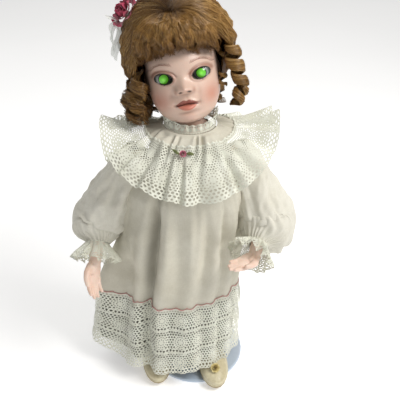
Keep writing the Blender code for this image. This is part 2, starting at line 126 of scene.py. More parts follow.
def new_mesh(name, points, faces, look=None, smooth=True, colour=None, **values):
    """A mesh object from arrays. faces is an array of quads or triangles, or a list of arrays."""
    mesh = bpy.data.meshes.new(name)
    groups = faces if isinstance(faces, list) else [faces]
    groups = [np.asarray(g, np.int32) for g in groups if len(g)]
    loops = np.concatenate([g.reshape(-1) for g in groups])
    totals = np.concatenate([np.full(len(g), g.shape[1], np.int32) for g in groups])
    starts = np.concatenate([[0], np.cumsum(totals)[:-1]]).astype(np.int32)
    mesh.vertices.add(len(points))
    mesh.vertices.foreach_set("co", np.asarray(points, np.float32).reshape(-1))
    mesh.loops.add(len(loops))
    mesh.loops.foreach_set("vertex_index", loops)
    mesh.polygons.add(len(totals))
    mesh.polygons.foreach_set("loop_start", starts)
    mesh.polygons.foreach_set("loop_total", totals)
    if smooth:
        mesh.polygons.foreach_set("use_smooth", np.ones(len(totals), bool))
    if colour is not None:
        rgba = np.concatenate([colour, np.ones((len(colour), 1))], axis=1).astype(np.float32)
        mesh.attributes.new(
            "paint", "FLOAT_COLOR", "POINT"
        ).data.foreach_set("color", rgba.reshape(-1))
    for key, value in values.items():
        mesh.attributes.new(key, "FLOAT", "POINT").data.foreach_set(
            "value", np.asarray(value, np.float32)
        )
    mesh.update(calc_edges=True)
    mesh.validate()
    obj = bpy.data.objects.new(name, mesh)
    bpy.context.scene.collection.objects.link(obj)
    if look:
        mesh.materials.append(look)
    return obj


def quads(rows, columns, wrap=False, first=0):
    """Faces of a grid of points stored row by row. wrap joins the last column to the first."""
    r = np.arange(rows - 1)[:, None]
    c = np.arange(columns if wrap else columns - 1)[None, :]
    d = (c + 1) % columns
    return (
        first
        + np.stack(
            [r * columns + c, r * columns + d, (r + 1) * columns + d, (r + 1) * columns + c], -1
        )
    ).reshape(-1, 4)


def put(obj, body, replaces=()):
    """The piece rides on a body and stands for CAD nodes."""
    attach(obj, body)
    if replaces:
        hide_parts(*replaces)
    return obj


# ------------------------------------------------------------------ materials

class Look:
    """A Principled material built up a node at a time."""

    def __init__(self, name, colour, roughness, **inputs):
        self.material = bpy.data.materials.new(name)
        self.material.use_nodes = True
        self.nodes = self.material.node_tree.nodes
        self.links = self.material.node_tree.links
        self.shader = self.nodes["Principled BSDF"]
        self.shader.inputs["Base Color"].default_value = (*colour, 1)
        self.shader.inputs["Roughness"].default_value = roughness
        for key, value in inputs.items():
            self.shader.inputs[key.replace("_", " ")].default_value = value
        self.coords = self.add("ShaderNodeTexCoord").outputs["Object"]

    def add(self, kind, **settings):
        node = self.nodes.new(kind)
        for key, value in settings.items():
            if key in node.inputs:
                node.inputs[key].default_value = value
            else:
                setattr(node, key, value)
        return node

    def noise(self, scale, detail=3.0, stretch=(1, 1, 1)):
        mapping = self.add("ShaderNodeMapping")
        mapping.inputs["Scale"].default_value = stretch
        self.links.new(self.coords, mapping.inputs["Vector"])
        node = self.add("ShaderNodeTexNoise", Scale=scale, Detail=detail)
        self.links.new(mapping.outputs["Vector"], node.inputs["Vector"])
        return node.outputs["Fac"]

    def ramp(self, value, stops):
        node = self.add("ShaderNodeValToRGB")
        ramp = node.color_ramp
        ramp.elements[0].position, ramp.elements[1].position = stops[0][0], stops[-1][0]
        ramp.elements[0].color, ramp.elements[1].color = (*stops[0][1], 1), (*stops[-1][1], 1)
        for position, colour in stops[1:-1]:
            ramp.elements.new(position).color = (*colour, 1)
        self.links.new(value, node.inputs["Fac"])
        return node.outputs["Color"]

    def mottled(self, scale, detail, dark, light, stretch=(1, 1, 1)):
        """Two tones that drift into each other."""
        return self.ramp(self.noise(scale, detail, stretch), ((0.3, dark), (0.7, light)))

    def attribute(self, name, output="Fac"):
        return self.add("ShaderNodeAttribute", attribute_name=name).outputs[output]

    def mix(self, kind, factor, a, b):
        node = self.add("ShaderNodeMix", data_type="RGBA", blend_type=kind)
        for socket, value in (
            (node.inputs["Factor"], factor), (node.inputs[6], a), (node.inputs[7], b)
        ):
            if isinstance(value, bpy.types.NodeSocket):
                self.links.new(value, socket)
            elif isinstance(value, tuple):
                socket.default_value = (*value, 1)
            else:
                socket.default_value = value
        return node.outputs[2]

    def colour(self, socket):
        self.links.new(socket, self.shader.inputs["Base Color"])
        return self

    def rough(self, socket, low, high):
        node = self.add("ShaderNodeMapRange")
        node.inputs["To Min"].default_value, node.inputs["To Max"].default_value = low, high
        self.links.new(socket, node.inputs["Value"])
        self.links.new(node.outputs["Result"], self.shader.inputs["Roughness"])
        return self

    def bump(self, height, strength, distance):
        node = self.add("ShaderNodeBump", Strength=strength, Distance=distance)
        if self.shader.inputs["Normal"].links:
            self.links.new(self.shader.inputs["Normal"].links[0].from_socket, node.inputs["Normal"])
        self.links.new(height, node.inputs["Height"])
        self.links.new(node.outputs["Normal"], self.shader.inputs["Normal"])
        return self


def srgb(*rgb):
    """Display colour, 0 to 255, to linear."""
    c = np.array(rgb) / 255
    return tuple(float(v) for v in np.where(c <= 0.04045, c / 12.92, ((c + 0.055) / 1.055) ** 2.4))


# ----------------------------------------------------------------- the head

HEAD_Z = np.array([-12.3, -8, -3, 0, 3.6, 5.2, 6.6, 9.6, 16.5, 28, 40, 55, 70, 85, 96]) * MM
HEAD_CY = np.array([0, 0, 0, 0, 0, -6, -8.5, -9.5, -7, -2.5, 1.5, 4.5, 6, 8, 10]) * MM
HEAD_RX = (
    np.array([5.5, 10.9, 13.3, 13.4, 12.6, 13.4, 16, 21.8, 29.5, 35.4, 37.4, 37.6, 37, 33, 26.5])
    * MM
)
HEAD_RY = (
    np.array([5.5, 10.9, 13.3, 13.4, 12.6, 14, 18, 23, 29, 35.0, 39.8, 43.5, 44, 40, 31.5]) * MM
)
EYE_X, EYE_Z = 18.7, 54.5
# Relief of the face, mm: centre across, height, spread across, spread up, how far it stands forward
FEATURES = (
    (0, 44.8, 4.6, 3.7, 9.6), (0, 51.5, 3.2, 5.5, 2.4), (6.4, 43.2, 2.4, 2.6, 4.6),
    (4.4, 41.8, 1.3, 1.1, -2.0),
    (0, 38.2, 7.5, 1.7, -1.5), (0, 35.6, 1.2, 1.8, -0.5), (2.9, 32.0, 2.6, 1.6, 2.3),
    (7.4, 30.2, 3.0, 1.4, 1.7),
    (0, 24.2, 5.6, 2.1, 3.9), (0, 28.0, 8.4, 0.65, -2.4), (11.4, 28.2, 1.8, 1.9, -1.5),
    (0, 19.6, 7.5, 1.6, -2.0),
    (0, 11.6, 8.0, 4.6, 3.2), (21.5, 28.5, 9.5, 10.5, 3.2), (18.7, 54.5, 9.5, 6.0, -2.4),
    (17.5, 65.0, 10.0, 4.0, 1.0),
    (0, 56.5, 5.0, 5.0, -1.4), (12.5, 38.5, 2.2, 5.0, -0.8),
)


def head_size(z):
    return (table(z, HEAD_Z, row, 1.6 * MM) for row in (HEAD_CY, HEAD_RX, HEAD_RY))


def relief(x, z):
    """How far the face stands forward at a point, in metres."""
    total = np.zeros_like(x)
    for across, height, wide, tall, amount in FEATURES:
        sides = (across,) if across == 0 else (across, -across)
        for centre in sides:
            total += amount * bell(x / MM, centre, wide) * bell(z / MM, height, tall)
    up = z / MM - EYE_Z
    level = eye_level(np.abs(x) / MM - EYE_X, up)
    total += (
        np.where(up > 0, 1.25, 0.8) * np.exp(-((level - 1.5) / 0.42) ** 2)
        - 0.75 * np.exp(-((level - 2.5) / 0.40) ** 2) * smoothstep(up, 0, 3)
    )
    return total * MM


def face_y(x, z):
    centre, half_x, half_y = head_size(z)
    across = np.sqrt(np.clip(1 - (x / half_x) ** 2, 0.0, 1))
    return centre - half_y * across - relief(x, z) * smoothstep(across, 0.05, 0.35)


def eye_level(across, up):
    """Below 1 inside the eye opening; across grows outwards from the nose, mm."""
    up = up - 0.05 * across
    return (np.abs(across) / 8.5) ** 2.1 + (np.abs(up) / np.where(up > 0, 5.7, 4.7)) ** 1.8


def snap_to_eye(across, up):
    """Moves points out or in along a line from the eye's centre onto its edge."""
    low, high = np.zeros_like(across), np.full_like(across, 4.0)
    for _ in range(30):
        middle = (low + high) / 2
        inside = eye_level(across * middle, up * middle) < 1
        low, high = np.where(inside, middle, low), np.where(inside, high, middle)
    return across * low, up * low


def finish_bisque(look, tone):
    """Fired porcelain over a painted tone: a fine speckle, and light that sinks in a little."""
    look.shader.inputs["Subsurface Radius"].default_value = (0.004, 0.0018, 0.001)
    speckle = look.mottled(900, 2, (0.955, 0.95, 0.945), (1.0, 1.0, 1.0))
    look.colour(look.mix("MULTIPLY", 1.0, tone, speckle))
    look.bump(look.noise(1600, 2), 0.12, 0.0002).rough(look.noise(140, 2), 0.34, 0.50)
    return look.material


SKIN, BLUSH = np.array(srgb(214, 186, 170)), np.array(srgb(188, 116, 94))
# SHADOW is the brown of the painted lids, and also the colour of painted shade under the chin, lip
# and nose
SHADOW, INK = np.array(srgb(128, 72, 52)), np.array(srgb(22, 14, 12))
LIP_DARK, LIP_LIGHT = np.array(srgb(134, 66, 54)), np.array(srgb(196, 110, 90))


def tint(colour, other, amount):
    amount = np.clip(amount, 0, 1)[:, None]
    return colour * (1 - amount) + other * amount


def face_paint(x, z, front):
    """The painted colour of the bisque at points of the face, x and z in mm, with painted shade
    under the chin, under the lower lip and beside and under the nose.
    """
    c = np.tile(SKIN, (len(x), 1))
    side = np.abs(x)
    c = tint(c, BLUSH, 0.62 * np.exp(-(((side - 26) / 10) ** 2 + ((z - 33) / 10.5) ** 2)) * front)
    c = tint(c, BLUSH, 0.22 * np.exp(-((x / 7) ** 2 + ((z - 14) / 4.5) ** 2)))
    # painted shade under the chin
    c = tint(c, SHADOW, 0.30 * (1 - smoothstep(z, 4.0, 13.0)))
    c = tint(c, BLUSH, 0.20 * np.exp(-((x / 5) ** 2 + ((z - 44) / 4) ** 2)))
    across, up = side - EYE_X, z - EYE_Z
    level = eye_level(across, up)
    lid = (
        smoothstep(level, 1.0, 1.3) * np.exp(-((level - 1.9) / 0.9) ** 2)
        * smoothstep(up, -0.5, 3.0)
    )
    c = tint(c, SHADOW, 0.66 * lid * front)
    c = tint(c, SHADOW, 0.34 * np.exp(-((level - 1.4) / 0.6) ** 2) * (up < 1) * front)
    inner = np.exp(-(((side - 9.2) / 2.2) ** 2 + ((z - 55.5) / 4.0) ** 2))
    c = tint(c, BLUSH * 0.8, 0.35 * inner * front)
    edge = np.where(up > 0, 1.42, 1.22)
    c = tint(c, INK, 0.95 * (1 - smoothstep(level, edge - 0.10, edge + 0.06)) * front)
    c = tint(
        c, INK * 2.0,
        1.0 * np.exp(-((((side - 4.4) / 2.1) ** 2 + ((z - 42.4 + 0.15 * side) / 1.5) ** 2)) ** 1.5)
    )
    bow = 33.5 - 1.1 * np.exp(-(x / 1.7) ** 2) - 0.042 * side ** 2
    line = 28.0 - 0.010 * side ** 2 + 0.45 * np.exp(-(x / 2.0) ** 2)
    base = 22.2 + 0.046 * side ** 2
    wide = 1 - smoothstep(side, 10.4, 11.8)
    upper = (
        smoothstep(z, line - 0.3, line + 0.1) * (1 - smoothstep(z, bow - 0.25, bow + 0.35)) * wide
    )
    lower = (
        smoothstep(z, base - 0.5, base + 0.5) * (1 - smoothstep(z, line - 0.3, line + 0.1)) * wide
    )
    c = tint(c, LIP_DARK, 0.92 * upper)
    c = tint(c, LIP_LIGHT, 0.85 * lower)
    c = tint(c, INK * 1.5, 0.85 * np.exp(-((z - line) / 0.42) ** 2) * wide)
    # painted shade under the lower lip, beside the nose and under it
    c = tint(c, SHADOW, 0.30 * np.exp(-((side / 8.0) ** 2 + ((z - 19.2) / 1.5) ** 2)))
    c = tint(c, SHADOW, 0.46 * np.exp(-(((side - 9.2) / 1.8) ** 2 + ((z - 42.0) / 3.2) ** 2)))
    c = tint(c, SHADOW, 0.36 * np.exp(-((side / 6.5) ** 2 + ((z - 38.4) / 1.5) ** 2)))
    return c


EYE_BALL = 10.6


def ball_y(across, up):
    """Front of the glass eye at a point, mm from its centre; the eye sits just behind the lids."""
    lid = face_y(np.array([(EYE_X + 1.0) * MM]), np.array([EYE_Z * MM]))[0]
    return lid + (
        EYE_BALL + 0.4 - np.sqrt(np.clip(EYE_BALL ** 2 - across ** 2 - up ** 2, 0, None))
    ) * MM


def build_head():
    columns, rows = 376, 258
    s = np.linspace(-1, 1, columns, endpoint=False)
    turn = pi * np.sign(s) * np.abs(s) ** 1.45
    low, high = HEAD_Z[0], 95 * MM
    z = low + (high - low) * np.linspace(0, 1, rows)
    turn, z = np.meshgrid(turn, z)
    turn, z = turn.reshape(-1), z.reshape(-1)
    centre, half_x, half_y = head_size(z)
    x = half_x * np.sin(turn)
    forward = np.cos(turn)
    y = centre - half_y * forward
    y -= relief(x, z) * smoothstep(forward, 0.05, 0.35)
    ear = np.exp(-(((y / MM - 6) / 4.2) ** 2 + ((z / MM - 49) / 7.5) ** 2))
    bowl = np.exp(-(((y / MM - 5) / 2.0) ** 2 + ((z / MM - 50) / 4.0) ** 2))
    x += np.sign(x) * (4.6 * ear - 3.6 * bowl) * MM * (np.abs(forward) < 0.75)
    faces = quads(rows, columns, wrap=True)
    extra_points, extra_faces = [], []
    count = len(x)
    for sign in (-1, 1):
        across, up = sign * x / MM - EYE_X, z / MM - EYE_Z
        near = (np.abs(across) < 14) & (np.abs(up) < 9) & (forward > 0)
        inside = near & (eye_level(across, up) < 1)
        whole = inside[faces].all(axis=1)
        partly = inside[faces].any(axis=1) & ~whole
        moved = np.unique(faces[partly][inside[faces[partly]]])
        a, u = snap_to_eye(across[moved], up[moved])
        x[moved] = sign * (a + EYE_X) * MM
        z[moved] = (u + EYE_Z) * MM
        y[moved] = face_y(x[moved], z[moved])
        faces = faces[~whole]
        order = moved[np.argsort(np.arctan2(u, a))]
        a, u = sign * x[order] / MM - EYE_X, z[order] / MM - EYE_Z
        rim_y = ball_y(0.97 * a, 0.97 * u) - 0.15 * MM
        rim = np.stack([sign * (0.97 * a + EYE_X) * MM, rim_y, (0.97 * u + EYE_Z) * MM], -1)
        ids = count + np.arange(len(order))
        count += len(order)
        strip = np.stack([order, np.roll(order, -1), np.roll(ids, -1), ids], -1)
        extra_points.append(rim)
        extra_faces.append(strip if sign > 0 else strip[:, ::-1])
    points = np.concatenate([np.stack([x, y, z], -1), *extra_points])
    front = np.concatenate([smoothstep(forward, 0.0, 0.3), np.ones(count - len(x))])
    colour = face_paint(points[:, 0] / MM, points[:, 2] / MM, front)
    colour[len(x):] = INK
    look = Look(
        "bisque_paint", (0.8, 0.7, 0.6), 0.42, Specular_IOR_Level=0.45, Subsurface_Weight=0.08,
        Coat_Weight=0.06
    )
    glaze = finish_bisque(look, look.attribute("paint", "Color"))
    head = new_mesh("bisque_head", to_world(points), [faces] + extra_faces, glaze, colour=colour)
    put(head, "head", ("head", "pate"))


def ribbon_strokes(name, strokes, look, width):
    """Thin tapering brush strokes on the face; a stroke is an array of (x, z) points in mm."""
    points, faces = [], []
    for stroke in strokes:
        stroke = np.asarray(stroke, float)
        n = len(stroke)
        step = np.gradient(stroke, axis=0)
        normal = np.stack([-step[:, 1], step[:, 0]], -1) / np.linalg.norm(step, axis=1)[:, None]
        taper = width * np.sin(np.linspace(0.35, pi - 0.12, n)) ** 0.8
        first = sum(len(p) for p in points)
        for side in (-1, 0, 1):
            xz = (stroke + side * taper[:, None] * normal * 0.5) * MM
            y = face_y(xz[:, 0], xz[:, 1]) - (0.10 if side == 0 else 0.03) * MM
            points.append(np.stack([xz[:, 0], y, xz[:, 1]], -1))
        faces.append(quads(3, n, first=first))
    return new_mesh(name, to_world(np.concatenate(points)), np.concatenate(faces), look)


def bend(start, end, sag, count=8):
    """A slightly bowed stroke between two points."""
    start, end = np.array(start, float), np.array(end, float)
    t = np.linspace(0, 1, count)[:, None]
    across = np.array([-(end - start)[1], (end - start)[0]])
    return start + (end - start) * t + across * sag * 4 * t * (1 - t)


def eye_edge(angle):
    """The point of the eye opening's edge at an angle, from the eye's centre, mm."""
    return np.concatenate(snap_to_eye(np.array([cos(angle)]), np.array([sin(angle)])))


def build_face_trim():
    brown = Look("brow_paint", srgb(118, 76, 58), 0.5)
    brown.colour(brown.mottled(1200, 2, srgb(108, 66, 50), srgb(140, 96, 76)))
    ink = Look("lash_paint", srgb(30, 18, 14), 0.4)
    ink.colour(ink.mottled(1200, 2, srgb(20, 12, 10), srgb(52, 32, 26)))
    for side, sign in (("right", -1), ("left", 1)):
        brows, lashes = [], []

        def lash(base, tip, sag, sign=sign, lashes=lashes):
            ends = [(sign * (a + EYE_X), u + EYE_Z) for a, u in (base, tip)]
            lashes.append(bend(*ends, sag * sign, 6))

        xs = np.linspace(10.0, 30.5, 17)
        ridge = table(xs, [10, 14, 20, 26, 31], [67.6, 69.0, 69.8, 67.8, 63.2], 2.0)
        for i, (x, z) in enumerate(zip(xs, ridge)):
            lean = 1.6 + 2.6 * i / 16
            lift = 3.0 - 4.6 * i / 16
            brows.append(
                bend((sign * (x - 0.8), z - 1.0), (sign * (x + lean), z - 0.1 + lift), 0.05 * sign)
            )
        xs = np.linspace(10.5, 32.0, 24)
        under = table(xs, [10, 14, 20, 26, 32], [67.4, 68.6, 69.3, 67.3, 62.0], 2.0)
        brows.append(np.stack([sign * xs, under], -1))
        for angle in np.linspace(-2.75, -0.25, 15):
            base = eye_edge(angle) * 1.04
            out = unit(np.array([cos(angle) + 0.35, sin(angle) * 1.1]))
            lash(base, base + out * (2.3 if angle > -1.7 else 1.5), 0.08)
        for angle in np.linspace(0.12, 1.1, 7):
            base = eye_edge(angle) * 1.08
            lash(base, base + np.array([2.4, 1.2 + 0.8 * sin(angle)]), -0.1)
        put(ribbon_strokes(f"brow_strokes_{side}", brows, brown.material, 0.42), "head")
        put(ribbon_strokes(f"lash_strokes_{side}", lashes, ink.material, 0.42), "head")
        build_eye(side, sign)


def build_eye(side, sign):
    """A glass eye: grey-white ball darkened towards its edge as painted shade, dark ring, bright
    green iris with fine rays, made to glow as painted light.
    """
    rings, around = 60, 72
    radius = EYE_BALL
    tilt = np.linspace(0, 1.15, rings)
    turn = full_turn(around)
    tilt, turn = np.meshgrid(tilt, turn, indexing="ij")
    tilt, turn = tilt.reshape(-1), turn.reshape(-1)
    out = radius * np.sin(tilt)
    bulge = 0.75 * np.clip(1 - (out / 5.8) ** 2, 0, 1)
    centre_y = float(ball_y(np.array([0.0]), np.array([0.0]))[0]) / MM + radius
    x = sign * EYE_X + out * np.cos(turn)
    z = EYE_Z + out * np.sin(turn)
    y = centre_y - radius * np.cos(tilt) - bulge
    rays = 0.5 + 0.5 * np.sin(turn * 31 + 2.0 * np.sin(turn * 7))
    c = np.tile(srgb(128, 136, 132), (len(x), 1))
    # painted shade: the white darkens towards the edge of the ball, where the lids shade it
    c = tint(c, np.array(srgb(40, 34, 32)), 0.80 * smoothstep(out, 6.4, 8.6))
    c = tint(c, np.array(srgb(14, 22, 14)), 1 - smoothstep(out, 5.1, 5.7))
    green = tint(
        np.tile(srgb(100, 196, 56), (len(x), 1)), np.array(srgb(52, 132, 34)),
        0.65 * rays * smoothstep(out, 0.8, 3.6)
    )
    # painted glow: the iris lightens towards its centre
    green = tint(green, np.array(srgb(140, 240, 90)), 0.7 * np.exp(-(out / 1.6) ** 2))
    amount = (1 - smoothstep(out, 4.3, 4.9))[:, None]
    c = c * (1 - amount) + green * amount
    look = Look(f"glass_eye_{side}", (0.5, 0.8, 0.3), 0.16, Coat_Weight=0.35, Coat_Roughness=0.10)
    paint = look.attribute("paint", "Color")
    look.colour(paint)
    # painted light: the iris glows by emission, strongest at its centre, though the glass gives off
    # no light
    look.links.new(
        look.ramp(look.attribute("glow"), ((0.0, (0, 0, 0)), (1.0, (0.23, 0.72, 0.05)))),
        look.shader.inputs["Emission Color"]
    )
    look.shader.inputs["Emission Strength"].default_value = 0.26
    glow = amount[:, 0] * (0.62 + 0.38 * np.exp(-(out / 3.0) ** 2))
    points = to_world(np.stack([x, y, z], -1) * MM)
    eye = new_mesh(
        f"glass_eye_{side}_ball", points, quads(rings, around, wrap=True), look.material, colour=c,
        glow=glow
    )
    put(eye, "head", (f"eye_{side}",))


# ------------------------------------------------------------------- the hair

DOME = np.array([0.0, 11.0, 72.0])


def dome_size(direction):
    """Half widths of the hair, mm, towards a direction."""
    x, y, z = direction.T
    return np.stack(
        [np.full_like(x, 57.0), np.where(y < 0, 59.0, 58.0), np.where(z > 0, 64.0, 60.0)], -1
    )


def on_dome(direction, lift=0.0):
    """Points of the hair's surface in given directions, lifted by mm."""
    flat = unit(direction).reshape(-1, 3)
    points = DOME + flat * (dome_size(flat) + np.asarray(lift).reshape(-1, 1))
    return points.reshape(direction.shape)


def slerp(start, end, t):
    """Directions from start to end, (strands, steps, 3)."""
    start, end = unit(start), unit(end)
    angle = np.arccos(np.clip((start * end).sum(-1), -0.999, 0.999))[:, None, None]
    t = t[None, :, None]
    return (
        (np.sin((1 - t) * angle) * start[:, None] + np.sin(t * angle) * end[:, None])
        / np.sin(angle)
    )


def strands(name, paths, radius, tone, look, sides=3):
    """Fine tapering fibres along paths, (strands, steps, 3) in head-frame mm."""
    count, steps = paths.shape[:2]
    tangent = np.gradient(paths, axis=1)
    tangent /= np.linalg.norm(tangent, axis=-1, keepdims=True) + 1e-9
    across = np.cross(tangent, np.array([0.31, 0.82, 0.47]))
    across /= np.linalg.norm(across, axis=-1, keepdims=True) + 1e-9
    up = np.cross(tangent, across)
    t = np.linspace(0, 1, steps)
    taper = (
        radius * (0.55 + 0.45 * np.sin(np.clip(t * 1.15, 0, 1) * pi) ** 0.5)
        * np.where(t > 0.9, (1.06 - t) / 0.16, 1)
    )
    angles = 2 * pi * np.arange(sides) / sides
    ring = np.cos(angles)[:, None] * across[:, :, None] + np.sin(angles)[:, None] * up[:, :, None]
    points = paths[:, :, None] + ring * taper[None, :, None, None]
    one = quads(steps, sides, wrap=True)
    faces = (one[None] + (np.arange(count) * steps * sides)[:, None, None]).reshape(-1, 4)
    tones = np.repeat(tone, steps * sides)
    along = np.tile(np.repeat(t, sides), count)
    obj = new_mesh(name, to_world(points.reshape(-1, 3) * MM), faces, look, tone=tones, along=along)
    bake = obj.data.uv_layers.new(name="OFBake")
    index = np.zeros(len(obj.data.loops), np.int32)
    obj.data.loops.foreach_get("vertex_index", index)
    uv = np.stack([0.02 + 0.96 * along[index], 0.02 + 0.96 * tones[index]], -1)
    bake.data.foreach_set("uv", uv.astype(np.float32).reshape(-1))
    return obj


def hair_look():
    look = Look("wig_fibre_look", srgb(150, 104, 58), 0.36, Specular_IOR_Level=0.55)
    tone = look.ramp(look.attribute("tone"), (
        (0.0, srgb(70, 45, 18)), (0.25, srgb(110, 76, 34)), (0.55, srgb(146, 108, 55)),
        (0.85, srgb(178, 140, 80)), (1.0, srgb(206, 174, 118)),
    ))
    root = look.ramp(
        look.attribute("along"),
        ((0.0, (0.30, 0.26, 0.22)), (0.22, (1, 1, 1)), (0.7, (1, 1, 1)), (1.0, (0.66, 0.58, 0.50)))
    )
    look.colour(look.mix("MULTIPLY", 1.0, tone, root))
    return look.material


def tones(count, centre=0.5, spread=0.22):
    return np.clip(RNG.normal(centre, spread, count), 0, 1)


def wander(paths, scale, amount, seed):
    """Strands drift together in locks, more towards their ends."""
    flat, steps = paths.reshape(-1, 3), paths.shape[1]
    drift = np.stack([waves(flat, scale, seed + k) for k in range(3)], -1).reshape(paths.shape)
    return paths + drift * amount * np.linspace(0.25, 1, steps)[None, :, None]


def curl(start, down, radius, pitch, turns, count, width, steps, phase=0.0, loose=0.55):
    """A sausage curl: a ribbon of fibres wound round an axis."""
    down = unit(np.array(down, float))
    side = unit(np.cross(down, [0.0, 1.0, 0.0]))
    front = np.cross(side, down)
    t = np.linspace(0, 1, steps)[None, :]
    offset = RNG.uniform(-0.5, 0.5, count)[:, None]
    depth = RNG.normal(0, loose, count)[:, None]
    angle = phase + 2 * pi * turns * t + RNG.normal(0, 0.09 * loose, count)[:, None]
    grow = np.clip(t * 4, 0.25, 1) * (1 - 0.25 * t)
    reach = (radius + depth + 1.8 * np.sqrt(1 - (2 * offset) ** 2)) * grow
    fall = pitch * turns * t + offset * width * np.clip(t * 3, 0.2, 1) * (1 - 0.35 * t)
    start = np.array(start, float)
    return (
        start + down * fall[..., None] + side * (reach * np.cos(angle))[..., None]
        + front * (reach * np.sin(angle))[..., None]
    )


def build_hair():
    look = hair_look()
    dark = Look("wig_cap_look", srgb(96, 60, 30), 0.7)
    dark.colour(dark.mottled(500, 3, srgb(70, 42, 20), srgb(128, 86, 46), (1, 1, 0.2)))
    dark.bump(dark.noise(900, 2, (1, 1, 0.15)), 0.6, 0.001)

    # the cap under the fibres, open over the face
    rows, columns = 60, 96
    polar, turn = np.meshgrid(np.linspace(0.001, 2.45, rows), full_turn(columns), indexing="ij")
    direction = np.stack(
        [np.sin(polar) * np.sin(turn), -np.sin(polar) * np.cos(turn), np.cos(polar)], -1
    ).reshape(-1, 3)
    points = on_dome(direction, -6.0 + 1.2 * waves(direction * 50, 26, 3))
    face = quads(rows, columns, wrap=True)
    centre = points[face].mean(1)
    keep = ~((centre[:, 1] < -14) & (centre[:, 2] < 84)) & (centre[:, 2] > 24)
    cap = new_mesh("wig_cap", to_world(points * MM), face[keep], dark.material)
    put(cap, "head", ("hair_crown",))

    # bangs: a fan from the crown's front down to an arched fringe that curls under, in locks
    count, steps = 3400, 20
    t = np.linspace(0, 1, steps)
    spread = RNG.uniform(-1, 1, count)
    layer = RNG.random(count)
    lock = np.round(spread * 15 + 0.4 * np.sin(layer * 9)) / 15
    gather = spread + 0.55 * (lock - spread)
    start = np.stack(
        [
            spread * 9 + RNG.normal(0, 1.6, count),
            -44 + RNG.normal(0, 2.0, count) + 5 * spread ** 2, np.full(count, 38.0)
        ],
        -1
    )
    x = gather * 42 + 3.0 * np.sin(lock * 41 + layer * 4) + RNG.normal(0, 1.0, count)
    fringe = (
        78.5 - 7.0 * (x / 38) ** 2 + 10 * layer ** 2 + 1.3 * np.sin(lock * 57)
        + RNG.normal(0, 0.7, count)
    )
    end = np.stack([x, -56 + 0.012 * x ** 2, fringe - DOME[2]], -1)
    puff = 6.5 * np.sin(np.clip(t * 1.1, 0, 1) * pi) ** 0.8 - 3.0 * smoothstep(t, 0.78, 1.0)
    paths = on_dome(
        slerp(start, end, t), puff[None, :] + (layer * 4.0 - 3.6 + 0.9 * np.sin(lock * 33))[:, None]
    )
    paths[..., 0] += (3.6 * np.sin(lock * 23 + 1.3))[:, None] * np.sin(t * pi)[None, :]
    paths[..., 1] += 5.0 * smoothstep(t, 0.80, 1.0)[None, :]
    paths = wander(wander(paths, 16, 2.0, 11), 6, 0.9, 15)
    bangs = strands(
        "hair_bangs_fibres", paths, 0.22,
        np.clip(tones(count, 0.5, 0.16) * 0.75 + 0.22 * layer + 0.13 * np.sin(lock * 47), 0, 1),
        look
    )
    put(bangs, "head", ("hair_bangs",))

    # crown: combed from the front line over the top to the sides and the back
    count, steps = 5200, 16
    t = np.linspace(0, 1, steps)
    heading = RNG.uniform(-pi, pi, count)
    heading = np.sign(heading) * (0.42 * pi + np.abs(heading) * 0.58)
    start = np.stack(
        [
            12 * np.sin(heading) + RNG.normal(0, 2.5, count),
            -42 - 5 * np.cos(heading) + RNG.normal(0, 3, count), np.full(count, 43.0)
        ],
        -1
    )
    drop = RNG.uniform(-0.85, -0.05, count) * np.where(np.sin(heading) > 0.4, 24, 46)
    end = np.stack([52 * np.sin(heading), -52 * np.cos(heading) + 4, drop], -1)
    lock = np.round(heading * 13 + 0.5 * np.sin(heading * 40)) / 13
    lift = (
        (1.2 * np.sin(t * pi) + 3.2 * np.exp(-((t - 0.16) / 0.13) ** 2))[None, :]
        + (RNG.uniform(-3.5, 1.0, count) + 0.9 * np.sin(lock * 51))[:, None]
    )
    paths = on_dome(slerp(start, end, t), lift)
    paths = wander(wander(paths, 26, 2.6, 21), 8, 1.1, 25)
    put(
        strands(
            "hair_crown_fibres", paths, 0.26,
            np.clip(tones(count, 0.52, 0.17) + 0.16 * np.sin(lock * 29), 0, 1), look
        ),
        "head"
    )

    # loose curls on the right cheek
    bundles = []
    for k, (x, y, top, radius, turns) in enumerate((
        (-41, -19, 66, 5.0, 2.2), (-46, -16, 62, 6.0, 2.4), (-52, -8, 58, 6.5, 2.2),
        (-56, 2, 52, 6.5, 2.0),
        (-49, -6, 44, 7.0, 1.7), (-56, 8, 44, 6.5, 1.6), (-45, 6, 36, 7.0, 1.3),
        (-50, -12, 50, 6.5, 1.9),
    )):
        bundles.append(
            curl(
                (x, y, top), (-0.16, 0.05 - 0.02 * k, -1), radius, (top - 14) / turns, turns, 150,
                15.0, 34, 0.9 * k, 1.3
            )
        )
    paths = wander(np.concatenate(bundles), 14, 3.4, 31)
    put(
        strands("ringlets_right", paths, 0.21, tones(len(paths), 0.42, 0.25), look), "head",
        ("ringlet_right_front", "ringlet_right_rear")
    )

    # the ringlet that hangs clear on the left, its last turn swung inwards, and a curl by the ear
    curls = (
        ((50, -15, 80), (0.16, -0.05, -1), 7.2, 15.5, 3.3, 640, 15.0, 60, 0.5),
        ((39, -10, 50), (0.04, -0.04, -1), 3.4, 9.0, 1.8, 130, 5.5, 40, 2.0),
        ((59, -18, 34), (-0.60, -0.28, -1), 6.0, 11.0, 2.0, 400, 12.0, 40, 3.4),
        ((44, 2, 70), (0.02, -0.02, -1), 3.0, 12.0, 1.8, 130, 7.0, 30, 1.2),
    )
    for k, values in enumerate(curls):
        paths = wander(curl(*values), 24, 0.9, 41 + k)
        obj = strands(f"ringlet_left_{k + 1}", paths, 0.21, tones(len(paths), 0.60, 0.22), look)
        put(obj, "head", ("ringlet_left_front", "ringlet_left_rear") if k == 0 else ())

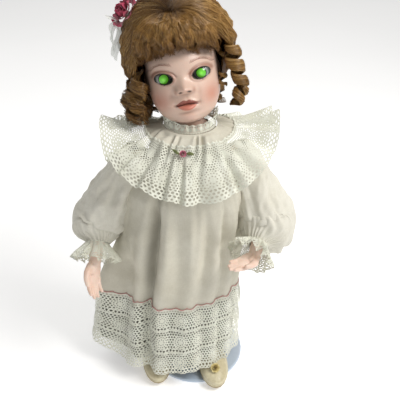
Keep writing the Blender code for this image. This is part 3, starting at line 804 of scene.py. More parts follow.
    # ringlets down the back, resting on the collar
    bundles = []
    for k, angle in enumerate(np.linspace(-1.25, 0.85, 8)):
        x, y = 46 * sin(angle), 11 + 42 * cos(angle)
        end_z = 10 - 0.10 * x
        for layer in (0, 1):
            top = 50 - 10 * layer
            shrink = 1 - 0.12 * layer
            turns = (top - end_z) / 14.5
            bundles.append(
                curl(
                    (x * shrink, y * shrink, top), (0.03 * sin(angle), 0.08 * cos(angle), -1), 7.0,
                    14.5, turns, 85, 9.0, 34, 1.7 * k + layer
                )
            )
    paths = wander(np.concatenate(bundles), 24, 1.2, 51)
    put(
        strands("ringlets_back", paths, 0.24, tones(len(paths), 0.45, 0.24), look), "head",
        ("ringlet_back_right", "ringlet_back_left")
    )


# ------------------------------------------------------------------ lace

def holes_near(u, v, spacing, radius, row=0.866):
    """Signed distance to a net of round holes: negative inside a hole."""
    rows = v / (spacing * row)
    best = np.full_like(u, 1e3)
    for shift in (0, 1):
        j = np.floor(rows) + shift
        i = np.round(u / spacing - 0.5 * (j % 2))
        best = np.minimum(best, np.hypot(u - (i + 0.5 * (j % 2)) * spacing, v - j * spacing * row))
    return best - radius


def ring_of_holes(x, y, radius, count, hole):
    """Signed distance to holes set evenly round a circle."""
    angle = np.arctan2(y, x)
    nearest = np.round(angle / (2 * pi / count)) * (2 * pi / count)
    return np.hypot(x - radius * np.cos(nearest), y - radius * np.sin(nearest)) - hole


def lace_field(u, v, high, period, scallop, loop, net):
    """Above 0 where the lace has thread; u along the strip and v down it, mm.

    Fine net with rows of round motifs, then a coarser net, then loops along the scalloped edge."""
    x = (u + period / 2) % period - period / 2
    half = (u + period) % period - period / 2
    below = high - scallop * (1 - np.cos(pi * x / period)) - v
    field = holes_near(u, v, net, 0.313 * net)
    size = min(0.34 * period, 0.25 * high)
    coarse = 2 * loop + 0.13 * high
    middle = high - scallop - coarse - size * 0.95
    for across, centre, big in (
        (x, middle, size), (half, middle - 1.45 * size, 0.80 * size),
        (x, middle - 2.7 * size, 0.62 * size)
    ):
        if centre < 0.5 * big:
            continue
        r = np.hypot(across, v - centre)
        outer = ring_of_holes(across, v - centre, big * 0.80, 15, big * 0.085)
        inner = ring_of_holes(across, v - centre, big * 0.44, 8, big * 0.085)
        field = np.where(r < big, np.minimum(outer, inner), field)
    pitch = period / round(period / (1.75 * loop))
    grid = holes_near(u, below - 2 * loop - 0.62 * loop, pitch, 0.325 * pitch)
    field = np.where(below < coarse, grid, field)
    centre = (np.floor(u / pitch) + 0.5) * pitch
    cx = (centre + period / 2) % period - period / 2
    bottom = high - scallop * (1 - np.cos(pi * cx / period)) - 1.05 * loop
    wire = 0.30 * loop - np.abs(np.hypot(u - centre, v - bottom) - 0.72 * loop)
    field = np.where(
        below < 1.9 * loop, wire, np.where(below < 2.2 * loop, np.maximum(field, wire), field)
    )
    field = np.where(v < 1.0, np.maximum(field, 0.3), field)
    return np.minimum(field, np.minimum(v + 0.4, high - v + 0.4))


def cut_pattern(field, step):
    """Marching squares: where a grid's field is above 0, as (u, v) points and faces."""
    rows, columns = field.shape
    inside = field > 0
    corner = (np.arange(rows)[:, None] * columns + np.arange(columns)[None]).astype(np.int64)
    count = rows * columns
    along, down = count + corner, 2 * count + corner

    def crossing(a, b):
        return np.clip(a / np.where(a == b, 1, a - b), 0.02, 0.98)

    j, i = np.mgrid[0:rows, 0:columns].astype(float)
    spots = np.zeros((3 * count, 2))
    spots[:count] = np.stack([i.ravel(), j.ravel()], -1)
    shift = np.zeros_like(field)
    shift[:, :-1] = crossing(field[:, :-1], field[:, 1:])
    spots[count:2 * count] = np.stack([(i + shift).ravel(), j.ravel()], -1)
    shift = np.zeros_like(field)
    shift[:-1] = crossing(field[:-1], field[1:])
    spots[2 * count:] = np.stack([i.ravel(), (j + shift).ravel()], -1)
    corners = [
        c[sy, sx] for c, sy,
        sx in (
            (corner, slice(None, -1), slice(None, -1)), (corner, slice(None, -1), slice(1, None)),
            (corner, slice(1, None), slice(1, None)), (corner, slice(1, None), slice(None, -1))
        )
    ]
    sides = [along[:-1, :-1], down[:-1, 1:], along[1:, :-1], down[:-1, :-1]]
    flags = [inside[:-1, :-1], inside[:-1, 1:], inside[1:, 1:], inside[1:, :-1]]
    case = sum(f.astype(int) << k for k, f in enumerate(flags))
    groups = {}
    for number in range(1, 16):
        cells = case == number
        if not cells.any():
            continue
        picks = []
        for k in range(4):
            here, after = number >> k & 1, number >> (k + 1) % 4 & 1
            if here:
                picks.append(corners[k][cells])
            if here != after:
                picks.append(sides[k][cells])
        groups.setdefault(len(picks), []).append(np.stack(picks, -1))
    faces = [np.concatenate(g) for g in groups.values()]
    used, index = np.unique(np.concatenate([f.ravel() for f in faces]), return_inverse=True)
    index = index.reshape(-1)
    start, renamed = 0, []
    for f in faces:
        renamed.append(index[start:start + f.size].reshape(f.shape))
        start += f.size
    return spots[used] * step, renamed


LACE_STEP = 0.55


def lace_strip(name, long, high, period, scallop, loop, net, shape, look):
    """A strip of lace, long x high mm, laid on shape(u, v), and its thread's flat area."""
    period = long / round(long / period)
    columns, rows = int(long / LACE_STEP) + 1, int(high / LACE_STEP) + 1
    u, v = np.meshgrid(np.linspace(0, long, columns), np.linspace(0, high, rows))
    field = lace_field(u, v, high, period, scallop, loop, net)
    spots, faces = cut_pattern(field, 1.0)
    share = spots / np.array([columns - 1, rows - 1])
    points = shape(share[:, 0], share[:, 1])
    flat = share * np.array([long, high]) * MM
    area = 0.0
    for f in faces:
        x, y = flat[f][..., 0], flat[f][..., 1]
        area += 0.5 * abs((x * np.roll(y, -1, 1) - y * np.roll(x, -1, 1)).sum())
    return new_mesh(name, points, [f[:, ::-1] for f in faces], look), float(area)


def lace_look(name, colour, shade):
    look = Look(name, colour, 0.82, Sheen_Weight=0.15, Specular_IOR_Level=0.25)
    tone = look.mottled(60, 3, shade, colour)
    thread = look.ramp(look.noise(2200, 2), ((0.35, (0.86, 0.85, 0.82)), (0.65, (1, 1, 1))))
    look.colour(look.mix("MULTIPLY", 1.0, tone, thread))
    look.bump(look.noise(1800, 2), 0.55, 0.0004)
    return look.material


def cloth_look(name, colour, shade, weave=1500):
    """A fine plain weave with uneven threads, darkened as painted shade where the attribute under
    is set.
    """
    look = Look(name, colour, 0.88, Sheen_Weight=0.12, Specular_IOR_Level=0.22)
    tone = look.mottled(28, 4, shade, colour)
    warp, weft = look.noise(weave, 2, (1, 1, 0.07)), look.noise(weave, 2, (0.10, 0.10, 1))
    threads = look.mix(
        "MULTIPLY", 1.0, look.ramp(warp, ((0.3, (0.93, 0.925, 0.91)), (0.65, (1, 1, 1)))),
        look.ramp(weft, ((0.3, (0.94, 0.935, 0.92)), (0.65, (1, 1, 1))))
    )
    cloth = look.mix("MULTIPLY", 1.0, tone, threads)
    # painted shade: the attribute under darkens the cloth towards a deep shadow tone
    look.colour(
        look.mix(
            "MULTIPLY", 1.0, cloth,
            look.ramp(look.attribute("under"), ((0.0, (1, 1, 1)), (1.0, (0.15, 0.145, 0.125))))
        )
    )
    look.bump(warp, 0.3, 0.0003).bump(weft, 0.3, 0.0003)
    return look.material


# ----------------------------------------------------------------- the dress

SKIRT_Z = np.array([0.026, 0.125, 0.200, 0.250, 0.270, 0.290, 0.310, 0.320, 0.328, 0.335])
SKIRT_X = np.array([-28.0, -23.0, -17.5, -12.5, -12.5, -10.0, -8.5, -8.0, -7.8, -7.5]) * MM
SKIRT_Y = np.array([4.0, 6.0, 2.0, -3.0, -5.0, -3.0, 0.0, 1.0, 1.5, 2.0]) * MM
SKIRT_A = np.array([81.0, 76.0, 73.0, 69.0, 65.0, 55.0, 45.0, 42.8, 37.0, 26.0]) * MM
SKIRT_B = np.array([66.0, 60.0, 57.0, 53.0, 50.0, 42.0, 35.0, 33.0, 28.5, 23.5]) * MM
# Folds of the skirt: degrees round the doll (-90 in front), width, depth in mm, top of the fold
DEEP_PLEAT = -122
FOLDS = (
    (DEEP_PLEAT, 4.6, -15.0, 0.30), (-133, 6.0, 3.0, 0.27), (-110, 6.0, 4.5, 0.28),
    (-96, 5.0, -3.0, 0.285), (-84, 5.0, 2.6, 0.285), (-72, 3.6, -5.0, 0.29),
    (-61, 4.0, 3.0, 0.28), (-52, 3.0, -5.0, 0.29), (-42, 4.5, 3.5, 0.27), (-31, 4.0, -5.0, 0.27),
    (-18, 6.0, 3.0, 0.25), (-6, 5.0, -4.0, 0.25),
    (12, 6.0, 4.0, 0.25), (30, 5.0, -4.5, 0.25), (48, 6.0, 4.0, 0.25), (66, 5.0, -5.0, 0.25),
    (84, 6.0, 4.0, 0.25), (102, 5.0, -5.0, 0.25),
    (120, 6.0, 4.5, 0.25), (138, 5.0, -5.0, 0.25), (155, 6.0, 3.0, 0.25), (208, 8.0, -12.0, 0.22),
    (-143, 3.5, -2.5, 0.24),
)


def skirt(turn, z, out=0.0, ripple=0.0):
    """Points of the hanging skirt at an angle and a height; out is how far outside it, metres."""
    degrees = np.degrees(turn)
    x0, y0, a, b = (table(z, SKIRT_Z, row, 0.004) for row in (SKIRT_X, SKIRT_Y, SKIRT_A, SKIRT_B))
    reach = np.zeros_like(z)
    for angle, wide, deep, top in FOLDS:
        away = apart(degrees, angle) + 2.0 * np.sin(z * 38 + angle)
        grow = (1 - smoothstep(z, top - 0.07, top)) * (0.8 + 0.2 * smoothstep(z, 0.03, 0.15))
        share = 1 if angle == DEEP_PLEAT else 0.6 + 0.6 * smoothstep(z, 0.13, 0.19)
        reach += deep * share * bell(away, 0, wide * (0.55 + 0.45 * grow)) * grow * (z < top)
    gather = smoothstep(z, 0.15, 0.27)
    spread = turn + 0.10 * np.sin(turn * 4 + 1.0) + 0.06 * np.sin(turn * 9)
    fine = (
        np.sin(spread * 15) * (0.7 + 0.5 * np.sin(turn * 5 + 2))
        + 0.30 * np.sin(spread * 33 + z * 25)
    )
    reach += 1.3 * gather * fine
    rear = bell(apart(degrees, 184), 0, 12) * (1 - smoothstep(z, 0.12, 0.21))
    reach += 25.0 * rear
    reach += ripple * np.sin(turn * 41 + 1.5 * np.sin(turn * 7))
    reach = reach * MM + out
    flat = np.stack([turn * 0.35 * np.ones_like(z), z * 9], -1)
    reach += 1.1 * MM * waves(flat, 0.45, 77)
    return np.stack(
        [
            x0 + (a + reach) * np.cos(turn), y0 + (b + reach) * np.sin(turn),
            z + 0.014 * rear * (1 - smoothstep(z, 0.03, 0.1))
        ],
        -1
    )


# Height of the pink stitches, of a lace tier, and the arm hole's radius
STITCH_Z, TIER_STEP, ARM_HOLE = 0.125, 0.0325, 0.0165


def build_dress():
    batiste = cloth_look("batiste_look", srgb(217, 214, 201), srgb(200, 196, 181), 2200)
    lace = lace_look("cotton_lace_look", srgb(234, 236, 225), srgb(220, 221, 207))
    rows, columns = 172, 540
    turn, z = round_grid(columns, STITCH_Z - 0.006, 0.3365, rows)
    points = skirt(turn, z)
    faces = quads(rows, columns, wrap=True)
    middle = points[faces].mean(1)
    for x, y, height in (arm_points(side)[0] for side in ("right", "left")):
        hole = np.hypot(middle[:, 1] - y, middle[:, 2] - height) < ARM_HOLE
        keep = ~((np.abs(middle[:, 0] - x) < 0.03) & hole)
        faces, middle = faces[keep], middle[keep]
    # painted shade on the dress: under darkens the cloth below the collar's edge and down the deep
    # pleat's valley
    in_pleat = bell(apart(np.degrees(turn), DEEP_PLEAT) - 2.0 * np.sin(z * 38 + DEEP_PLEAT), 0, 3.2)
    under = np.maximum(0.36 * smoothstep(points[:, 2], 0.290, 0.306), 0.42 * in_pleat)
    dress = new_mesh("dress_cloth", points, faces, batiste, under=under)
    put(dress, "trunk", ("dress",))

    for i in range(3):
        top = STITCH_Z - TIER_STEP * i - 0.0005
        high = TIER_STEP + 0.0015

        def shape(u, v, top=top, high=high, i=i):
            turn = 2 * pi * u + pi / 2
            ruffle = 0.6 * v ** 1.3
            return skirt(turn, top - v * high, 0.0008 + 0.0030 * v + 0.0002 * i, ruffle)

        tier, thread = lace_strip(
            f"lace_tier_{i + 1}_strip", 560, high / MM, 25.0, 1.3, 2.3, 3.7, shape, lace
        )
        put(tier, "trunk", (f"lace_tier_{i + 1}",))

    # a scalloped line of pink stitches where the first tier is sewn on
    count = 2600
    turn = full_turn(count)
    z = STITCH_Z + 0.0020 - 0.0030 * np.abs(np.sin(turn * 19))
    line = skirt(turn, z, 0.0012)
    step = np.roll(line, -1, 0) - line
    step = unit(step)
    up = np.cross(step, np.cross([0, 0, 1.0], step))
    side = np.cross(step, up)
    size = 0.00038 * (0.75 + 0.35 * np.abs(np.sin(turn * 170)))
    ring = np.stack(
        [line + (cos(a) * up + sin(a) * side) * size[:, None] for a in (0.6, 2.2, 3.8, 5.3)], 1
    )
    faces = quads(count, 4, wrap=True)
    here, after = np.arange(4), (np.arange(4) + 1) % 4
    last = np.stack([(count - 1) * 4 + here, (count - 1) * 4 + after, after, here], -1)
    pink = Look("pink_stitch_look", srgb(196, 96, 100), 0.6)
    pink.colour(pink.mottled(900, 2, srgb(176, 78, 86), srgb(212, 120, 122)))
    put(
        new_mesh(
            "pink_stitching", ring.reshape(-1, 3), np.concatenate([faces, last]), pink.material
        ),
        "trunk"
    )
    return batiste, lace


# --------------------------------------------------------- collar and neckband

COLLAR = (-0.006, -0.006)
COLLAR_TOP, COLLAR_INNER = 0.3435, 0.0285
NECKBAND, NECKBAND_RADIUS = (-0.0060, -0.0025), 0.0272


def collar_surface(turn, share, ruffle=1.0):
    """The wide collar: steep in front, nearly level over the shoulders, folded towards its edge."""
    front = np.clip(-np.sin(turn), 0, None) ** 1.6
    back = np.clip(np.sin(turn), 0, None) ** 1.6
    reach = 0.0960 - 0.0225 * front - 0.0280 * back
    fall = 0.0130 + 0.0460 * front ** 0.75 + 0.0220 * back
    radius = COLLAR_INNER + (reach - COLLAR_INNER) * share
    height = COLLAR_TOP - fall * np.clip(share, 0, None) ** (1.0 + 0.5 * front)
    deep = np.clip(share - 0.22, 0, None) ** 1.15
    phase = turn * 19 + 1.8 * np.sin(turn * 3 + 0.6) + 1.2 * np.sin(turn * 7)
    wave = np.sin(phase) + 0.35 * np.sin(phase * 2 + 1.0)
    size = (4.6 + 7.6 * (1 - front) + 1.4 * np.sin(turn * 4 + 1)) * MM * deep * ruffle
    gather = (
        2.2 * MM
        * np.sin(
            turn * 19 + 3.0 * np.sin(turn * 4) + 1.8 * np.sin(turn * 9)
            + share * 14 * np.sin(turn * 3)
        )
        * (0.6 + 0.5 * np.sin(turn * 5 + 1)) * smoothstep(share, 0.02, 0.14)
        * (1 - 0.7 * smoothstep(share, 0.3, 0.7))
    )
    degrees = np.degrees(turn)
    raised = 24 * bell(apart(degrees, 2), 0, 15) + 17 * bell(apart(degrees, 168), 0, 12)
    lift = raised * MM * np.clip(share - 0.3, 0, None) ** 1.4
    steep = 0.85 * front
    x = COLLAR[0] + (radius + (wave * size + gather) * steep) * np.cos(turn)
    y = COLLAR[1] + (radius + (wave * size + gather) * steep) * np.sin(turn)
    return np.stack([x, y, height + (wave * size) * (1 - 0.75 * steep) + gather + lift], -1)


def build_collar(batiste, lace):
    rows, columns = 40, 900
    surface = collar_surface(*round_grid(columns, 0.0, 0.30, rows))
    yoke = new_mesh("collar_yoke", surface, quads(rows, columns, wrap=True), batiste)
    put(yoke, "trunk")

    # the lace is gathered evenly along its own length, so its outer edge sets where it lies
    turns = np.linspace(pi / 2, 2.5 * pi, 1441)
    edge = collar_surface(turns, np.full(len(turns), 0.8))
    along = np.concatenate([[0], np.cumsum(np.linalg.norm(np.diff(edge, axis=0), axis=1))])

    def shape(u, v):
        points = collar_surface(np.interp(u, along / along[-1], turns), 0.27 + 0.73 * v)
        head = np.exp(-((v / 0.045) ** 2))
        points[:, 2] += (
            0.0006 + 0.001 * v
            + head * (0.0016 + 0.0010 * np.sin(2 * pi * u * 64 + 2 * np.sin(2 * pi * u * 9)))
        )
        return points

    bertha, thread = lace_strip("lace_bertha", 540, 60, 24.5, 1.7, 2.15, 2.9, shape, lace)
    put(bertha, "trunk", ("lace_collar",))

    def band(u, v):
        turn = 2 * pi * u + pi / 2
        ruffle = np.sin(turn * 19 + 1.9 * np.sin(turn * 4)) * 0.0021 * v
        radius = NECKBAND_RADIUS + 0.0010 * v ** 1.5 + ruffle
        high = 0.0100 + 0.0050 * (1 - np.clip(-np.sin(turn), 0, 1) ** 2)
        return np.stack(
            [
                NECKBAND[0] + radius * np.cos(turn), NECKBAND[1] + radius * np.sin(turn),
                0.3425 + high * v + 0.9 * ruffle
            ],
            -1
        )

    neck, thread = lace_strip("neckband_ruffle", 200, 12.0, 8.0, 1.2, 1.1, 2.4, band, lace)
    put(neck, "trunk", ("neckband",))
    rows, columns = 8, 240
    turn, v = round_grid(columns, 0, 1, rows)
    radius = NECKBAND_RADIUS + 0.0007 * np.sin(v * pi) + 0.0002 * np.sin(turn * 60)
    tape = np.stack(
        [
            NECKBAND[0] + radius * np.cos(turn), NECKBAND[1] + radius * np.sin(turn),
            0.3412 + 0.0022 * v
        ],
        -1
    )
    put(new_mesh("neckband_tape", tape, quads(rows, columns, wrap=True), batiste), "trunk")


# ------------------------------------------------------------ sleeves and cuffs

ARMS = {
    "right": ((-63.0, 2, 306), (-111.0, 4, 221), (-119.0, -34, 188), (-124.5, -60, 155)),
    "left": ((46.0, 2, 306), (79.0, -17, 223), (60.0, -58, 200), (24.0, -86, 203)),
}


# Sleeve: fullest radius, where it ends below the elbow, how it sags and widens inwards, cuff's edge
SLEEVES = {"right": (30.0, 0.027, 7.0, 9.0, 27.5), "left": (33.0, 0.034, 21.0, 3.0, 26.5)}


def arm_points(side):
    return [np.array(p) * MM for p in ARMS[side]]


def tube_frame(stations, count):
    """A smooth path through stations: centres, directions across and up, and shares along it."""
    stations = np.asarray(stations, float)
    length = np.concatenate([[0], np.cumsum(np.linalg.norm(np.diff(stations, axis=0), axis=1))])
    t = np.linspace(0, length[-1], count)
    path = np.stack([table(t, length, stations[:, k], length[-1] * 0.05) for k in range(3)], -1)
    path[0], path[-1] = stations[0], stations[-1]
    tangent = unit(np.gradient(path, axis=0))
    across = unit(np.cross(tangent, [0.0, 1.0, 0.0]))
    return path, across, np.cross(across, tangent), t / length[-1]


def build_sleeve(side, batiste, lace):
    shoulder, elbow, wrist, tip = arm_points(side)
    sign = 1 if side == "left" else -1
    upper = unit(elbow - shoulder)
    lower = unit(wrist - elbow)
    hand = unit(tip - wrist)
    puff, end, droop, inward, far = SLEEVES[side]
    out = np.array([sign, 0, 0])
    stations = [shoulder + upper * far_down for far_down in (-0.004, 0.012, 0.035, 0.062)] + [
        elbow + out * 0.003, elbow + lower * 0.55 * end + out * 0.002,
        elbow + lower * 0.85 * end, elbow + lower * (end + 0.002),
    ]
    sizes = np.array([15.0, 20.0, 25.0, 28.5, puff, 0.94 * puff, 19.0, 12.6])
    rows, columns = 150, 200
    path, across, up, t = tube_frame(stations, rows)
    at = np.concatenate(
        [[0], np.cumsum(np.linalg.norm(np.diff(np.array(stations), axis=0), axis=1))]
    )
    size = table(t, at / at[-1], sizes, 0.035)
    size[-1] = 12.4
    tt, aa = np.meshgrid(t, full_turn(columns), indexing="ij")
    flat = np.stack([np.cos(aa) * 0.9, np.sin(aa) * 0.9, tt * 2.4], -1).reshape(-1, 3)
    folds = waves(flat, 0.85, 90 + (sign > 0)).reshape(tt.shape)
    ring = np.abs(folds) ** 0.8 * np.sign(folds)
    gather = (
        np.sin(aa * 26 + 2 * np.sin(aa * 5))
        * (0.9 * smoothstep(tt, 0.78, 0.97) + 0.7 * (1 - smoothstep(tt, 0.02, 0.28)))
    )
    long = np.sin(aa * 9 + 3 * tt + 1.4 * np.sin(aa * 3)) * 0.8 * np.sin(np.clip(tt, 0, 1) * pi)
    radius = (
        (size[:, None] + 2.6 * ring * np.sin(np.clip(tt * 1.05, 0, 1) * pi) + gather + long) * MM
    )
    # crumpled folds where the full sleeve is pushed up above the cuff
    crumple = (
        np.sin(tt * 58 + 2.4 * np.sin(aa * 2 + 1) + 1.4 * np.sin(aa * 5)) * bell(tt, 0.80, 0.10)
        * (0.6 + 0.5 * np.sin(aa * 3 + 2))
    )
    radius = radius + 1.9 * crumple * MM
    points = (
        path[:, None] + across[:, None] * (radius * np.cos(aa))[..., None]
        + up[:, None] * (radius * np.sin(aa))[..., None]
    )
    # and it hangs below the elbow
    low = np.clip((path[:, None, 2] - points[..., 2]) / (size[:, None] * MM), 0, 1)
    points[..., 2] -= droop * MM * bell(tt, 0.76, 0.12) * low ** 1.3
    inner = np.clip((points[..., 0] - path[:, None, 0]) * -sign / (size[:, None] * MM), 0, 1)
    points[..., 0] -= sign * inward * MM * bell(tt, 0.74, 0.14) * inner
    body = new_mesh(
        f"sleeve_{side}_cloth", points.reshape(-1, 3), quads(rows, columns, wrap=True), batiste
    )
    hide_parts(f"sleeve_{side}")
    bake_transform(body)

    centre = elbow + lower * end
    axis = lower * 0.6 + hand * 0.4
    axis = unit(axis)
    a = unit(np.cross(axis, [0.0, 1.0, 0.0]))
    b = np.cross(a, axis)

    def flare(u, v):
        turn = 2 * pi * u
        wave = np.sin(turn * 11 + 1.5 * np.sin(turn * 3)) + 0.4 * np.sin(turn * 23)
        radius = (12.0 + (far - 13.5) * smoothstep(v, -0.2, 1.05) + wave * 3.8 * v) * MM
        down = (0.4 + 22.0 * v - wave * 1.9 * v ** 1.2) * MM
        spot = (
            centre + axis * down[:, None] + a * (radius * np.cos(turn))[:, None]
            + b * (radius * np.sin(turn))[:, None]
        )
        return spot

    cuff, thread = lace_strip(f"cuff_{side}_ruffle", 210, 28, 17.5, 1.6, 1.6, 2.6, flare, lace)
    put(cuff, f"forearm_{side}", (f"cuff_{side}",))


# ----------------------------------------------------------------------- hands

def capsule_chain(spots, sizes, steps=5, around=14, flat=1.0, wide=None):
    """Closed tapered tube through spots; sizes are radii, mm. flat squeezes it across wide."""
    spots = np.asarray(spots, float)
    sizes = np.asarray(sizes, float)
    t = np.linspace(0, len(spots) - 1, (len(spots) - 1) * steps + 1)
    path = np.stack([table(t, np.arange(len(spots)), spots[:, k], 0.25) for k in range(3)], -1)
    path[0], path[-1] = spots[0], spots[-1]
    size = np.interp(t, np.arange(len(spots)), sizes)
    tangent = unit(np.gradient(path, axis=0))
    guide = np.array([0.3, 0.2, 0.93]) if wide is None else np.asarray(wide, float)
    across = guide - tangent * (tangent @ guide)[:, None]
    across = unit(across)
    up = np.cross(across, tangent)
    ends = []
    for side in (0, -1):
        way = -1 if side == 0 else 1
        for angle in (0.5, 1.0, 1.35):
            ends.append(
                (
                    side, path[side] + way * tangent[side] * size[side] * sin(angle),
                    size[side] * cos(angle)
                )
            )
    rows = (
        [(0, p, s) for k, p, s in ends[2::-1]] + [(i, path[i], size[i]) for i in range(len(path))]
        + [(-1, p, s) for k, p, s in ends[3:]]
    )
    turn = full_turn(around)
    rings = [
        p + s * (np.cos(turn)[:, None] * across[i] + flat * np.sin(turn)[:, None] * up[i]) for i, p,
        s in rows
    ]
    points = np.concatenate(rings)
    faces = quads(len(rings), around, wrap=True)
    caps = [np.arange(around)[::-1][None], (np.arange(around) + (len(rings) - 1) * around)[None]]
    return points, [faces] + caps


def join_shapes(name, shapes, look, voxel, smooth_steps=6):
    """Joins closed shapes into one smooth skin."""
    points, faces, first = [], {}, 0
    for p, groups in shapes:
        points.append(p)
        for g in groups:
            faces.setdefault(g.shape[1], []).append(g + first)
        first += len(p)
    obj = new_mesh(name, np.concatenate(points), [np.concatenate(g) for g in faces.values()], look)
    remesh = obj.modifiers.new("skin", "REMESH")
    remesh.mode, remesh.voxel_size, remesh.use_smooth_shade = "VOXEL", voxel, True
    soften = obj.modifiers.new("soften", "SMOOTH")
    soften.factor, soften.iterations = 0.5, smooth_steps
    graph = bpy.context.evaluated_depsgraph_get()
    mesh = bpy.data.meshes.new_from_object(obj.evaluated_get(graph))
    obj.modifiers.clear()
    obj.data = mesh
    if not mesh.materials:
        mesh.materials.append(look)
    mesh.polygons.foreach_set("use_smooth", np.ones(len(mesh.polygons), bool))
    return obj


def build_hand(side, look):
    _, elbow, wrist, tip = arm_points(side)
    lower = unit(wrist - elbow)
    along = unit(tip - wrist)
    # normal: the way the palm faces; across: from the little finger to the thumb
    normal = np.array([0.55, -0.75, 0.10]) if side == "right" else np.array([-0.05, -0.25, 0.95])
    normal -= along * (normal @ along)
    normal = unit(normal)
    across = unit(np.cross(normal, along))
    if across[1] > 0:
        across = -across
    long, wide = (1.20, 1.25) if side == "right" else (1.22, 1.05)

    def spot(forward, sideways, rise):
        return wrist + (along * forward * long + across * sideways * wide + normal * rise) * MM

    shapes = [
        capsule_chain(
            [elbow + lower * 0.008, elbow + lower * 0.016, (elbow + wrist) / 2, wrist],
            np.array([8.0, 9.0, 8.6, 7.2]) * MM
        ),
        capsule_chain(
            [wrist, spot(5, 0.5, 0), spot(13, 0.5, -0.6)], np.array([7.6, 9.0, 9.4]) * MM,
            flat=0.62, wide=across
        ),
        capsule_chain(
            [spot(12, 2.2, 0.2), spot(19, 1.6, 0.4)], np.array([8.6, 8.2]) * MM, flat=0.55,
            wide=across
        ),
        capsule_chain(
            [spot(4, 5.0, 1.5), spot(10, 10.0, 4.4), spot(16.5, 11.4, 6.2), spot(21.5, 10.2, 7.2)],
            np.array([5.0, 4.2, 3.3, 2.5]) * MM
        ),
        capsule_chain([spot(5, 3.0, 2.6), spot(9, 4.6, 3.4)], np.array([4.6, 4.4]) * MM),
    ]
    bent = 1.7 if side == "right" else 1.0
    for k, (base, start, reach, curl_up) in enumerate(
        (
            (5.4, 16.5, 15.0, 4.0), (1.8, 18.0, 16.5, 4.2), (-1.8, 17.5, 15.5, 4.4),
            (-5.2, 15.0, 13.0, 4.8)
        )
    ):
        spread = (base - 0.4) * 0.10
        line = [
            spot(
                start + reach * s * (1 - 0.12 * (bent - 1) * s), base + spread * s * 0.5,
                0.5 + bent * curl_up * s ** 1.9
            )
            for s in (0, 0.35, 0.7, 1.0)
        ]
        shapes.append(
            capsule_chain(line, np.array([3.1, 2.9, 2.6, 2.0]) * MM * (0.92 if k == 3 else 1))
        )
    hand = join_shapes(f"bisque_hand_{side}", shapes, look, 0.00062, 4)
    put(hand, f"forearm_{side}", (f"forearm_{side}",))


def limb_look():
    look = Look(
        "bisque_limb_look", srgb(236, 212, 196), 0.42, Specular_IOR_Level=0.45,
        Subsurface_Weight=0.08
    )
    return finish_bisque(look, look.mottled(70, 3, srgb(230, 198, 180), srgb(238, 216, 202)))


# ----------------------------------------------------------------------- shoes

FEET = {"right": (-0.0545, -0.0620), "left": (0.0180, -0.0770)}
SHOE_LENGTH, SHOE_HALF, HEEL_TO_ANKLE = 0.069, 0.0180, 0.0180


def shoe_outline(turn, grow=0.0):
    """Plan of a child's strap shoe: broad round toe, narrower heel."""
    along, across = -np.sin(turn), np.cos(turn)
    width = np.where(along > 0, 1.0, 1.0 - 0.20 * along ** 2)
    return across * width * (SHOE_HALF + grow), along * (SHOE_LENGTH / 2 + grow)


def build_shoe(side):
    foot_x, toe_y = FEET[side]
    middle = toe_y + SHOE_LENGTH / 2
    throat = toe_y + SHOE_LENGTH - HEEL_TO_ANKLE - middle
    columns = 96
    turn = full_turn(columns)

    def loft(name, levels, look):
        xs, ys, zs = [], [], []
        for z, scale_x, scale_y, shift in levels:
            x, y = shoe_outline(turn)
            xs.append(foot_x + x * scale_x)
            ys.append(middle - y * scale_y + shift)
            zs.append(np.full(columns, z))
        points = np.stack([np.concatenate(xs), np.concatenate(ys), np.concatenate(zs)], -1)
        return new_mesh(name, points, quads(len(levels), columns, wrap=True), look)

    leather = Look(
        f"shoe_leather_look_{side}", srgb(216, 208, 176), 0.42, Specular_IOR_Level=0.5,
        Coat_Weight=0.12
    )
    tone = leather.mottled(45, 4, srgb(196, 184, 148), srgb(224, 216, 186))
    scuffs = leather.ramp(leather.noise(300, 4), ((0.3, (0.86, 0.84, 0.80)), (0.6, (1, 1, 1))))
    leather.colour(
        leather.mix("MULTIPLY", 1.0, tone, scuffs)
    ).bump(leather.noise(900, 3), 0.35, 0.0004).rough(leather.noise(120, 3), 0.34, 0.55)
    heights = np.linspace(0, 1, 26)
    levels = []
    for h in heights:
        z = 0.0101 + h * 0.0239
        narrow = 1 - 0.36 * smoothstep(h, 0.15, 1.0) + 0.03 * np.sin(h * pi * 1.2)
        short = 1 - 0.615 * smoothstep(h, 0.22, 1.0)
        levels.append((z, narrow, short, throat * smoothstep(h, 0.18, 1.0)))
    inside = [
        (0.0340 - d, 0.60 - 0.004 * k, 0.355 - 0.003 * k, throat) for k,
        d in enumerate((0.0, 0.0004, 0.004, 0.012))
    ]
    upper = loft(f"shoe_{side}_leather", levels + inside, leather.material)
    put(upper, f"leg_{side}", (f"shoe_upper_{side}",))
    welt = loft(
        f"shoe_{side}_welt",
        [
            (0.0098, 1.00, 1.0, 0), (0.0098, 1.035, 1.012, 0), (0.0106, 1.045, 1.016, 0),
            (0.0112, 1.02, 1.006, 0), (0.0112, 0.97, 0.985, 0)
        ],
        leather.material
    )
    put(welt, f"leg_{side}")

    # strap over the instep
    t = np.linspace(0, pi, 40)
    strap = []
    for edge in (-1, 0, 1):
        x = foot_x + 0.0132 * np.cos(t)
        z = 0.0245 + 0.0105 * np.sin(t) ** 0.6 + (0.0002 if edge == 0 else 0)
        y = np.full_like(t, middle + throat - 0.0150) + 0.0026 * edge
        strap.append(np.stack([x, y, z], -1))
    put(
        new_mesh(f"shoe_{side}_strap", np.concatenate(strap), quads(3, 40), leather.material),
        f"leg_{side}"
    )


